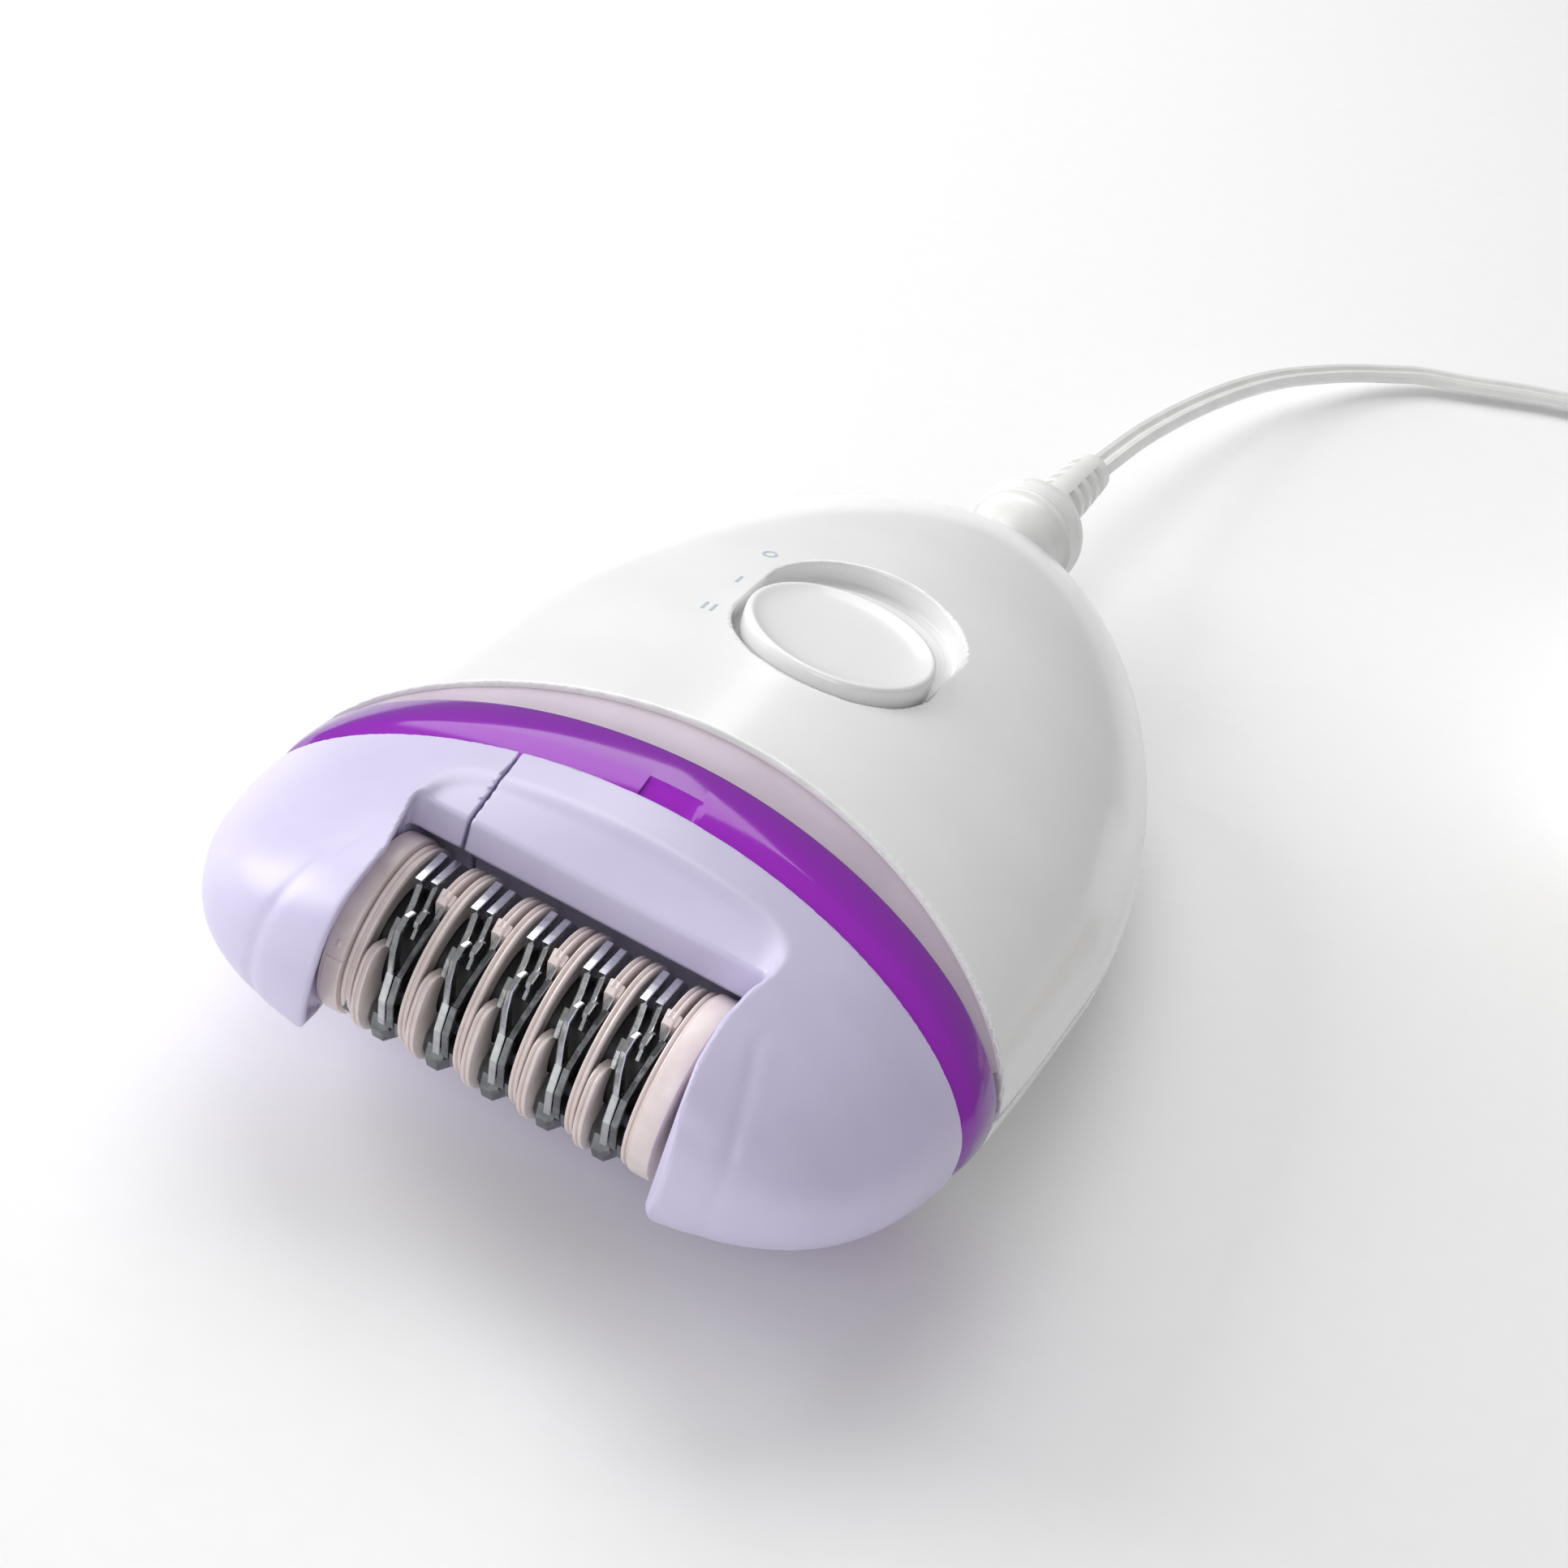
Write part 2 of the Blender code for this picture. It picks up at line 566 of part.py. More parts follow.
def sector_outline(inner, outer, first, last, steps):
    angles = np.radians(np.linspace(first, last, steps + 1))
    rim = [(outer * np.cos(a), outer * np.sin(a)) for a in angles]
    core = [(inner * np.cos(a), inner * np.sin(a)) for a in angles[::-1]]
    return rim + core


def barrel_pieces(parent):
    place = (0, BARREL_Y, BARREL_Z)
    left, right = BARREL_ENDS
    bore = AXLE_RADIUS + GAP
    core = [(bore, left - 1.7), (2.5, left - 1.7), (2.5, left + 1.0), (DRUM_RADIUS, left + 1.0),
            (DRUM_RADIUS, right), (bore, right)]
    link_mesh("barrel_core", turned_shape(core, 20), "dark_plastic", place, parent=parent)
    inner = DRUM_RADIUS + GAP
    ring = [(inner, 0), (BARREL_RADIUS - 0.3, 0), (BARREL_RADIUS, 0.3), (BARREL_RADIUS, END_RING_WIDTH - 0.3),
            (BARREL_RADIUS - 0.3, END_RING_WIDTH), (inner, END_RING_WIDTH)]
    for name, x in (("end_ring_left", left), ("end_ring_right", right - END_RING_WIDTH)):
        shifted = [(r, x + a) for r, a in ring]
        link_mesh(name, turned_shape(shifted, 28), "beige_plastic", place, parent=parent)
    for group in range(GROUPS):
        start = FIRST_GROUP_X + group * GROUP_PITCH
        number = str(group + 1)
        blade = sector_outline(inner, BARREL_RADIUS - 0.5, -60, 100, 10)
        link_mesh("fixed_tweezer_" + number, prism_shape(blade, start + 0.3, start + 0.8), "steel", place,
                  parent=parent)
        blade = sector_outline(inner, BARREL_RADIUS - 0.2, -130, 90, 12)
        link_mesh("moving_tweezer_" + number, prism_shape(blade, start + 1.3, start + 1.8), "steel", place,
                  parent=parent)
        arc = sector_outline(inner, BARREL_RADIUS - 0.5, 60, 250, 12)
        link_mesh("arc_disc_" + number, prism_shape(arc, start + 2.3, start + 3.2), "beige_plastic", place,
                  parent=parent)
        disc = [(inner, start + 3.6), (BARREL_RADIUS, start + 3.6), (BARREL_RADIUS, start + 4.5),
                (inner, start + 4.5)]
        link_mesh("full_disc_" + number, turned_shape(disc, 28), "beige_plastic", place, parent=parent)


# ---- switch ----

def switch_pieces(parent):
    turns = np.linspace(0, 2 * np.pi, 32, False)
    rim = [(BUTTON_HALF[0] * np.cos(a), BUTTON_HALF[1] * np.sin(a)) for a in turns]
    heights = ((0.97, 27.9), (1.0, 28.4), (1.0, 30.5), (0.97, 31.0), (0.9, 31.0), (0.5, 30.3))
    rows = [[(x * share, y * share, z - 29.0) for x, y in rim] for share, z in heights]
    button = link_mesh("switch_button", filled_shape(rows), "white_gloss_plastic",
                       (0, BUTTON_Y, 29.0), switch_matrix(), parent)
    stem = box_shape((-1.3, -1.8, -6.0), (1.3, 1.8, -0.6))
    joined = link_mesh("stem", stem, "white_gloss_plastic", (0, BUTTON_Y, 29.0), switch_matrix(), parent)
    boolean(button, joined, "UNION")
    slider = box_shape((-5.5, -3.4, -6.9), (5.5, 3.4, -6.3))
    link_mesh("switch_slider", slider, "dark_plastic", (0, BUTTON_Y, 29.0), switch_matrix(), parent,
              smooth=False)


# ---- supply lead ----

def plug_turn():
    """Turns X to the plug's own axis, which leaves the body along +Y and a little down."""
    return (Matrix.Rotation(PLUG_TILT, 3, "X") @ Matrix.Rotation(np.pi / 2, 3, "Z"))


def supply_lead(parent):
    plug = [(0, -9.0), (2.7, -9.0), (2.7, 0.0), (4.9, 0.0), (5.3, 2.0), (5.8, 7.0), (5.9, 11.0), (6.3, 11.3),
            (6.3, 12.2), (6.0, 12.5), (6.3, 12.8), (6.3, 13.7), (6.0, 14.0), (6.2, 14.5), (5.2, 15.8), (0, 15.8)]
    link_mesh("lead_plug", turned_shape(plug, 28), "white_flexible_pvc", PLUG_START, plug_turn(), parent)
    boot = [(0, BOOT_START), (3.0, BOOT_START), (2.2, BOOT_END), (0, BOOT_END)]
    link_mesh("strain_relief_boot", turned_shape(boot, 16), "white_flexible_pvc", PLUG_START, plug_turn(),
              parent)
    curve = bpy.data.curves.new("supply_cord", "CURVE")
    curve.dimensions = "3D"
    curve.bevel_depth = CORD_RADIUS * MM
    curve.bevel_resolution = 2
    curve.use_fill_caps = True
    spline = curve.splines.new("POLY")
    spline.points.add(len(cord_route()) - 1)
    for point, place in zip(spline.points, cord_route()):
        point.co = (*(Vector(place) * MM - parent.location), 1.0)
    cord = bpy.data.objects.new("supply_cord", curve)
    bpy.context.scene.collection.objects.link(cord)
    cord.parent = parent
    curve.materials.append(material("white_flexible_pvc"))


def cord_route():
    """A smooth curve through the route's points: three points to each stretch (Catmull-Rom)."""
    points = [Vector(p) for p in CORD_POINTS]
    points = [2 * points[0] - points[1]] + points + [2 * points[-1] - points[-2]]
    route = []
    for a, b, c, d in zip(points, points[1:], points[2:], points[3:]):
        for share in (0, 1 / 3, 2 / 3):
            t, t2, t3 = share, share**2, share**3
            route.append(0.5 * (2 * b + (c - a) * t + (2 * a - 5 * b + 4 * c - d) * t2
                                + (3 * b - a - 3 * c + d) * t3))
    return route + [points[-2]]


def coil_and_adapter(parent):
    half_width, half_height = COIL_HALF
    section = [(COIL_RADIUS + half_width * np.cos(a), half_height * np.sin(a))
               for a in np.linspace(0, 2 * np.pi, 12, endpoint=False)]
    upright = Matrix.Rotation(-np.pi / 2, 3, "Y")
    place = (*COIL_CENTRE, half_height + 0.05)
    link_mesh("cord_coil", turned_shape(section, 32), "white_flexible_pvc", place, upright, parent)
    tie_x = COIL_CENTRE[0] + COIL_RADIUS
    outer = box_shape((tie_x - 7.6, COIL_CENTRE[1] - 2.0, 0.0), (tie_x + 7.6, COIL_CENTRE[1] + 2.0, 10.4))
    tie = link_mesh("cord_tie", outer, "dark_plastic", parent=parent, smooth=False)
    inner = box_shape((tie_x - 6.4, COIL_CENTRE[1] - 3.0, -1.0), (tie_x + 6.4, COIL_CENTRE[1] + 3.0, 9.4))
    boolean(tie, link_mesh("tie_hole", inner, "dark_plastic", parent=parent))
    x, y = ADAPTER_CORNER
    body = box_shape((x, y, 0.05), (x + 38.0, y + 62.0, 27.0))
    link_mesh("wall_adapter", body, "dark_plastic", parent=parent, smooth=False)
    for number, pin_x in enumerate((x + 9.5, x + 28.5), 1):
        pin = turned_shape([(0, 0), (2.0, 0), (2.0, 17.5), (1.5, 19.0), (0, 19.0)], 14)
        link_mesh("adapter_pin_" + str(number), pin, "brass", (pin_x, y - GAP, 13.5),
                  Matrix.Rotation(-np.pi / 2, 3, "Z"), parent)


def main():
    clear_scene()
    places = gear_places()
    front_housing()
    housing_screws(rear_housing())
    neck_band()
    accent_ring()
    switch_bed()
    motor_and_board()
    power_socket()
    gear_frame()
    head = joint_empty("head_joint", (0, HOLLOW_Y, BARREL_Z))
    parents = {name: joint_empty(name + "_axis", (0, *place)) for name, place in places.items()}
    gears(parents)
    head_shells(head)
    head_fittings(head)
    barrel_pieces(parents["barrel"])
    switch_pieces(joint_empty("switch_joint", (0, BUTTON_Y, 29.0)))
    lead = joint_empty("lead_joint", PLUG_START)
    supply_lead(lead)
    coil_and_adapter(lead)


main()
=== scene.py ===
"""A corded epilator: its housings, tweezer head, cylinder, switch and lead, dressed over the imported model."""

import math

import bmesh
import bpy
import numpy as np
from mathutils import Matrix, Vector


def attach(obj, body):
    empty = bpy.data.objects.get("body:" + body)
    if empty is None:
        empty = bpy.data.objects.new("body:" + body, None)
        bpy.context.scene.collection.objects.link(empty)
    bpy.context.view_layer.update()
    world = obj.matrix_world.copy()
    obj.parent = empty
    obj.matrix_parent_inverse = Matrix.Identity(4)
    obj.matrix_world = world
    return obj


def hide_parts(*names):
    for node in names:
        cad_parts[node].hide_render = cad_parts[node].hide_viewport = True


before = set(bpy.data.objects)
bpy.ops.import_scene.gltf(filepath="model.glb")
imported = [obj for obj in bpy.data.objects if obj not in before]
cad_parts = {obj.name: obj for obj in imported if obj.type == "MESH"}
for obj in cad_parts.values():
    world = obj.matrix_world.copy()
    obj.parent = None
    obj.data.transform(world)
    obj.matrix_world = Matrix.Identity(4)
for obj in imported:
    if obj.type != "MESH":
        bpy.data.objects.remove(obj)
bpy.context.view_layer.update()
MM = 0.001

# Millimetres. The skin and the main edges repeat the part's own driving dimensions.
HALF_WIDTH, TOP_HEIGHT, BOTTOM_DEPTH = 34.5, 17.7, 12.2
TOP_POWER, BOTTOM_POWER = 1.9, 2.9
WIDEST_Y, TAIL_LENGTH, TAIL_POWER = -0.45, 63.7, 1.8
HEAD_LENGTH, HEAD_POWER = 56.8, 4.5
AXIS_Z, BEND_SPAN = 12.5, 55.2
TAIL_END = 57.25
# Each edge line is its place along Y in the middle, and how far along Y it has moved by the sides.
LIP_EDGE = (-15.95, -9.3)
RING_REAR = (-21.75, -4.5)
RING_FRONT = (-29.45, -4.0)
WALL, GAP = 2.0, 0.3
HANDLE_GRID, HEAD_GRID, ADAPTER_GRID = 0.4, 0.33, 0.6
BUTTON_HALF, BUTTON_Y, SWITCH_TRAVEL, RECESS_MARGIN = (9.2, 8.4), 5.95, 7.0, 0.65
SWITCH_TILT, TILT_HEIGHT = math.radians(-3.0), 29.0
NOTCH_DEPTH = 0.28
INK_STANDS, INK_DEPTH = 0.03, 0.08
BARREL_Y, BARREL_Z, BARREL_RADIUS, DRUM_RADIUS = -43.4, 17.2, 7.7, 4.2
HUB_RADIUS = DRUM_RADIUS + 0.3
BLADE_CRISP, LEVER_CRISP = 14, 20
BARREL_ENDS, BAY_ENDS, BAY_RADIUS = (-16.9, 13.7), (-17.2, 14.7), 8.5
CHEEK_LIP, SEAM_HALF_GAP = 1.0, 0.13
GROUPS, GROUP_PITCH, FIRST_GROUP_X = 5, 5.17, -13.6
SEAM = ((-15.2, -15.75), (-12.6, -33.75), (-10.8, -75.0))
PLUG_START, PLUG_TILT = (0.0, 58.25, 13.4), math.radians(-4.0)
SCREW_HEADS = ((0.0, 41.25, 2.1), (-20.0, -5.75, 2.6), (20.0, -5.75, 2.6))


# ---- materials ----

def linear(code):
    """An sRGB hex colour as linear RGBA."""
    parts = [int(code[i:i + 2], 16) / 255 for i in (1, 3, 5)]
    return (*[p / 12.92 if p <= 0.04045 else ((p + 0.055) / 1.055) ** 2.4 for p in parts], 1.0)


def add_node(tree, kind, links=(), **settings):
    """A node with its settings and links. A setting named after a socket goes to that socket.
    Links are (socket, output)."""
    node = tree.nodes.new(kind)
    for key, value in settings.items():
        socket = key.replace("_", " ").title()
        if hasattr(node, key):
            setattr(node, key, value)
        else:
            node.inputs[socket].default_value = value
    for socket, output in links:
        tree.links.new(output, node.inputs[socket])
    return node


def start_material(name, colour, roughness, metallic=0.0, **sockets):
    """A material with its Principled shader set, and its object-space position in millimetres."""
    made = bpy.data.materials.new(name)
    made.use_nodes = True
    tree = made.node_tree
    shader = tree.nodes["Principled BSDF"]
    shader.inputs["Base Color"].default_value = linear(colour)
    shader.inputs["Roughness"].default_value = roughness
    shader.inputs["Metallic"].default_value = metallic
    for key, value in sockets.items():
        shader.inputs[key.replace("_", " ").title()].default_value = value
    place = add_node(tree, "ShaderNodeTexCoord").outputs["Object"]
    scaled = add_node(tree, "ShaderNodeVectorMath", [(0, place)], operation="SCALE")
    scaled.inputs["Scale"].default_value = 1000.0
    return made, tree, shader, scaled.outputs[0]


def mottle(tree, shader, place, size, light, dark, socket="Base Color"):
    """Noise of a given grain in millimetres drives a colour, or a value, between two ends."""
    noise = add_node(tree, "ShaderNodeTexNoise", [("Vector", place)], detail=3.0)
    noise.inputs["Scale"].default_value = 1.0 / size
    ramp = add_node(tree, "ShaderNodeValToRGB", [("Fac", noise.outputs["Fac"])])
    ramp.color_ramp.elements[0].position, ramp.color_ramp.elements[1].position = 0.3, 0.7
    for element, end in zip(ramp.color_ramp.elements, (dark, light)):
        element.color = linear(end) if isinstance(end, str) else (end, end, end, 1.0)
    tree.links.new(ramp.outputs["Color"], shader.inputs[socket])


def relief(tree, shader, place, size, depth, detail=2.0, stretch=(1.0, 1.0, 1.0)):
    """A bump from noise of a given grain and depth in millimetres."""
    moved = add_node(tree, "ShaderNodeVectorMath", [(0, place)], operation="MULTIPLY")
    moved.inputs[1].default_value = stretch
    noise = add_node(tree, "ShaderNodeTexNoise", [("Vector", moved.outputs[0])], detail=detail)
    noise.inputs["Scale"].default_value = 1.0 / size
    bump = add_node(tree, "ShaderNodeBump", [("Height", noise.outputs["Fac"])], strength=1.0)
    bump.inputs["Distance"].default_value = depth * MM
    tree.links.new(bump.outputs["Normal"], shader.inputs["Normal"])


def white_abs():
    """ABS, injection moulded in a polished tool: a clean gloss, with a slow waviness in its reflections."""
    made, tree, shader, place = start_material("white_abs_polished", "#EFEFEF", 0.2, coat_weight=0.25,
                                               coat_roughness=0.08)
    mottle(tree, shader, place, 9.0, "#F0F0F0", "#ECECED")
    mottle(tree, shader, place, 14.0, 0.18, 0.24, "Roughness")
    relief(tree, shader, place, 7.0, 0.012)
    return made


def collar_painted_shade_abs():
    """ABS, moulded in a fine-etched tool: an even satin grey-mauve that is painted shade under the lip, with a
    painted purple reflection from the ring.
    """
    made, tree, shader, place = start_material("collar_abs_painted_shade", "#C3B6C3", 0.38)
    mottle(tree, shader, place, 5.0, "#C6B9C6", "#BDB0BD")
    relief(tree, shader, place, 0.5, 0.004)
    return made


def purple_acrylic():
    """Tinted acrylic, polished: light goes in a little, so edges look darker, and faces glow under a wet
    gloss."""
    made, tree, shader, place = start_material("purple_acrylic_tinted", "#9A1FBE", 0.14, coat_weight=0.15,
                                               coat_roughness=0.04)
    facing = add_node(tree, "ShaderNodeLayerWeight", blend=0.45)
    ramp = add_node(tree, "ShaderNodeValToRGB", [("Fac", facing.outputs["Facing"])])
    ramp.color_ramp.elements[0].color = linear("#A626C8")
    ramp.color_ramp.elements[1].color = linear("#5E0C86")
    ramp.color_ramp.elements[1].position = 0.85
    tree.links.new(ramp.outputs["Color"], shader.inputs["Base Color"])
    mottle(tree, shader, place, 11.0, 0.1, 0.15, "Roughness")
    return made


def lavender_abs():
    """ABS with a pearl pigment, moulded with a fine spark-eroded grain: a soft wide highlight, not a sharp
    gloss. The real grain is near 0.05 mm; it is drawn at 0.25 mm so that it shows."""
    made, tree, shader, place = start_material("lavender_abs_pearl", "#CFC8E6", 0.36, coat_weight=0.12,
                                               coat_roughness=0.3)
    mottle(tree, shader, place, 8.0, "#D2CBE8", "#CBC4E1")
    relief(tree, shader, place, 0.25, 0.003)
    return made


def beige_acetal(name="beige_acetal", light="#ECE1DE", dark="#E3D6D3"):
    """Acetal, moulded: a waxy, slightly translucent off-white with soft highlights, rubbed smooth in use."""
    made, tree, shader, place = start_material(name, light, 0.3, subsurface_weight=0.06)
    shader.inputs["Subsurface Radius"].default_value = (0.8 * MM, 0.6 * MM, 0.55 * MM)
    mottle(tree, shader, place, 1.6, light, dark)
    relief(tree, shader, place, 0.4, 0.003)
    return made


def stamped_steel(name="stainless_steel_stamped", light="#D8DADC", dark="#BFC2C4", rough=(0.16, 0.3)):
    """Stainless strip, stamped and tumbled: a bright grey that shows its rolled grain. The real grain is near
    0.08 mm; it is drawn at 0.2 mm so that it shows."""
    made, tree, shader, place = start_material(name, light, rough[0], 1.0)
    mottle(tree, shader, place, 0.9, light, dark)
    mottle(tree, shader, place, 0.5, rough[0], rough[1], "Roughness")
    relief(tree, shader, place, 0.2, 0.004, stretch=(1.0, 0.15, 1.0))
    return made


def black_acetal():
    """Black acetal, moulded: nearly black with a dull sheen on its edges."""
    made, tree, shader, place = start_material("black_acetal", "#2A282B", 0.42)
    mottle(tree, shader, place, 2.0, "#2A282B", "#1D1B1E")
    relief(tree, shader, place, 0.35, 0.005)
    return made


def brass():
    """Brass, turned or stamped: warm yellow metal with turning marks every 0.15 mm and a little tarnish."""
    made, tree, shader, place = start_material("brass_turned", "#C9A257", 0.25, 1.0)
    mottle(tree, shader, place, 1.2, "#D0AA60", "#B48C46")
    relief(tree, shader, place, 0.15, 0.004, stretch=(1.0, 0.1, 0.1))
    return made


def circuit_board_laminate():
    """Epoxy-glass board under green solder mask: a glossy mask over a faint 0.5 mm weave."""
    made, tree, shader, place = start_material("epoxy_glass_board", "#1F5B38", 0.3, coat_weight=0.4)
    mottle(tree, shader, place, 2.5, "#266B43", "#184A2D")
    relief(tree, shader, place, 0.5, 0.02, detail=0.0)
    return made


def white_pvc():
    """Flexible PVC, extruded or moulded over the wires: white with a soft gloss and slight surface ripple."""
    made, tree, shader, place = start_material("white_pvc_flexible", "#ECECEB", 0.34, subsurface_weight=0.05)
    shader.inputs["Subsurface Radius"].default_value = (0.9 * MM, 0.9 * MM, 0.85 * MM)
    mottle(tree, shader, place, 4.0, "#EFEFEE", "#E6E6E5")
    relief(tree, shader, place, 1.5, 0.01)
    return made


def printed_ink():
    """Pad-printed ink: a thin matt film whose edge and tone vary slightly with the pad's pressure."""
    made, tree, shader, place = start_material("pad_printed_ink", "#B4BEC9", 0.5)
    mottle(tree, shader, place, 0.3, "#BAC4CE", "#A9B4C0")
    return made


def studio_paper():
    """A sweep of matt paper: even and pale, with fibres too fine to see, drawn as a faint 3 mm mottle."""
    made, tree, shader, place = start_material("studio_paper", "#FAFAFA", 0.9)
    mottle(tree, shader, place, 3.0, "#FBFBFB", "#F9F9F9")
    return made


# the collar's grey-mauve is painted shade under the lip, with a painted purple reflection from the ring
WHITE, COLLAR_PAINTED_SHADE, PURPLE, LAVENDER = white_abs(), collar_painted_shade_abs(), purple_acrylic(), lavender_abs()
BEIGE, STEEL, BLACK, BRASS = beige_acetal(), stamped_steel(), black_acetal(), brass()
# A darker copy of the stamped steel: painted shade, not a black-oxide finish.
SHADED_STEEL = stamped_steel("stainless_steel_painted_shade", "#8A8D90", "#6B6E71", (0.14, 0.26))
BOARD, PVC, INK, PAPER = circuit_board_laminate(), white_pvc(), printed_ink(), studio_paper()
NATURAL = beige_acetal("natural_acetal_gears", "#E9E6DC", "#DEDACE")
ADAPTER = white_abs()
ADAPTER.name = "white_polycarbonate_adapter"


# ---- making pieces ----

def piece(name, points, faces, body, material, slot=None, stands_for=(), smooth=True, normals=None,
          crisp=35):
    """A mesh in millimetres that rides on a body, with its finish and the nodes it stands for."""
    mesh = bpy.data.meshes.new(name)
    mesh.from_pydata((np.asarray(points, float) * MM).tolist(), [], [tuple(map(int, f)) for f in faces])
    mesh.validate()
    if smooth:
        mesh.shade_smooth()
        if normals is None:
            mesh.set_sharp_from_angle(angle=math.radians(crisp))
        else:
            mesh.normals_split_custom_set_from_vertices(np.asarray(normals).tolist())
    made = bpy.data.objects.new(name, mesh)
    bpy.context.scene.collection.objects.link(made)
    mesh.materials.append(material)
    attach(made, body)
    if stands_for:
        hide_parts(*stands_for)
    return made


def outward(points, faces):
    """The faces, all turned to face out of the closed shape."""
    mesh = bmesh.new()
    corners = [mesh.verts.new(p) for p in points]
    for face in faces:
        found = list(dict.fromkeys(int(i) for i in face))
        if len(found) > 2:
            try:
                mesh.faces.new([corners[i] for i in found])
            except ValueError:
                pass
    bmesh.ops.recalc_face_normals(mesh, faces=mesh.faces)
    mesh.verts.index_update()
    turned = [[v.index for v in f.verts] for f in mesh.faces]
    mesh.free()
    return points, turned


def join(*shapes):
    """Several (points, faces) as one."""
    points, faces = [], []
    for more_points, more_faces in shapes:
        faces += [[i + len(points) for i in f] for f in more_faces]
        points += [tuple(p) for p in more_points]
    return points, faces


def turned(profile, steps=96, centre=(0.0, 0.0, 0.0)):
    """A closed (radius, along) profile turned about an axis along X through centre."""
    angles = np.linspace(0, 2 * np.pi, steps, endpoint=False)
    points, faces, n = [], [], len(profile)
    for a in angles:
        points += [(centre[0] + along, centre[1] + radius * np.cos(a), centre[2] + radius * np.sin(a))
                   for radius, along in profile]
    for j in range(steps):
        k = (j + 1) % steps
        for i in range(n):
            m = (i + 1) % n
            faces.append((j * n + i, j * n + m, k * n + m, k * n + i))
    welded = np.round(np.array(points), 5)
    unique, index = np.unique(welded, axis=0, return_inverse=True)
    index = index.reshape(-1)
    return outward([tuple(p) for p in unique], [[index[i] for i in f] for f in faces])


def swept(sections, closed=False):
    """A tube through equal closed loops of points, capped at its ends unless it is closed on itself."""
    n, points, faces = len(sections[0]), [], []
    for section in sections:
        points += [tuple(p) for p in section]
    last = len(sections) if closed else len(sections) - 1
    for i in range(last):
        k = (i + 1) % len(sections)
        for j in range(n):
            m = (j + 1) % n
            faces.append((i * n + j, i * n + m, k * n + m, k * n + j))
    if not closed:
        faces.append(tuple(range(n)))
        faces.append(tuple(range((len(sections) - 1) * n, len(sections) * n)))
    return outward(points, faces)


def surface_of(field, low, high, step):
    """The closed surface where a field of distances is zero: one point in each grid cell that the surface
    crosses, moved onto it along the slope, and joined to its neighbours by squares."""
    axes = [np.arange(a, b + step, step) for a, b in zip(low, high)]
    grid = np.stack(np.meshgrid(*axes, indexing="ij"), -1)
    values = field(grid.reshape(-1, 3)).reshape(grid.shape[:3])
    cells = tuple(n - 1 for n in values.shape)
    total, count, crossings = np.zeros((*cells, 3)), np.zeros(cells), []
    for axis in range(3):
        others = [k for k in range(3) if k != axis]
        first, second = [slice(None)] * 3, [slice(None)] * 3
        first[axis], second[axis] = slice(0, -1), slice(1, None)
        a, b = values[tuple(first)], values[tuple(second)]
        crossing = (a < 0) != (b < 0)
        place = grid[tuple(first)].copy()
        place[..., axis] += np.where(crossing, a / np.where(crossing, a - b, 1.0), 0.0) * step
        for da in (0, 1):
            for db in (0, 1):
                cut = [slice(None)] * 3
                cut[others[0]] = slice(da, da + cells[others[0]])
                cut[others[1]] = slice(db, db + cells[others[1]])
                hit = crossing[tuple(cut)]
                total += place[tuple(cut)] * hit[..., None]
                count += hit
        crossings.append((crossing, a < 0, others))
    used = count > 0
    index = np.full(cells, -1)
    index[used] = np.arange(used.sum())
    points = total[used] / count[used][:, None]
    faces = []
    for axis, (crossing, below, others) in enumerate(crossings):
        inner = [slice(None)] * 3
        inner[others[0]], inner[others[1]] = slice(1, -1), slice(1, -1)
        where = np.argwhere(crossing[tuple(inner)])
        where[:, others] += 1
        corners = []
        for da, db in ((-1, -1), (0, -1), (0, 0), (-1, 0)):
            cell = where.copy()
            cell[:, others[0]] += da
            cell[:, others[1]] += db
            corners.append(index[tuple(cell.T)])
        quads = np.stack(corners, 1)
        flip = below[tuple(where.T)] == (axis == 1)
        quads[flip] = quads[flip][:, ::-1]
        faces.append(quads)
    normals = None
    for _ in range(3):
        slope = slope_of(field, points)
        size = np.linalg.norm(slope, axis=1)[:, None] + 1e-9
        normals = slope / size
        move = -field(points)[:, None] * normals / np.maximum(size, 0.5)
        length = np.linalg.norm(move, axis=1)[:, None] + 1e-9
        points = points + move * np.minimum(1.0, 0.45 * step / length)
    return points, np.concatenate(faces), normals


def slope_of(field, points, reach=0.05):
    """The field's gradient at each point."""
    steps = np.eye(3) * reach
    return np.stack([(field(points + s) - field(points - s)) / (2 * reach) for s in steps], 1)


def both(a, b, blend=0.0):
    """Inside both fields, with the edge where they meet rounded by blend."""
    if blend <= 0:
        return np.maximum(a, b)
    h = np.clip(0.5 - 0.5 * (b - a) / blend, 0, 1)
    return b + (a - b) * h + blend * h * (1 - h)


def either(a, b, blend=0.0):
    """Inside one field or the other, with the inner corner where they meet filled by blend."""
    return -both(-a, -b, blend)


# ---- the outer skin ----

def plan_share(y):
    """The share of its full size that the section has at y."""
    tail = np.clip((y - WIDEST_Y) / TAIL_LENGTH, 0, 1) ** TAIL_POWER
    head = np.clip((WIDEST_Y - y) / HEAD_LENGTH, 0, 1) ** HEAD_POWER
    return np.where(y > WIDEST_Y, np.maximum(1 - tail, 1e-6) ** (1 / TAIL_POWER),
                    np.maximum(1 - head, 1e-6) ** (1 / HEAD_POWER))


def section(y):
    """Half width, height above and depth below the axis, and the axis height, at y."""
    share, bend = plan_share(y), (y - WIDEST_Y) / BEND_SPAN
    swell = share * (1 + 0.217 * bend)
    return HALF_WIDTH * share, TOP_HEIGHT * swell, BOTTOM_DEPTH * swell, AXIS_Z + 2.9 * bend**2 - 3.75 * bend


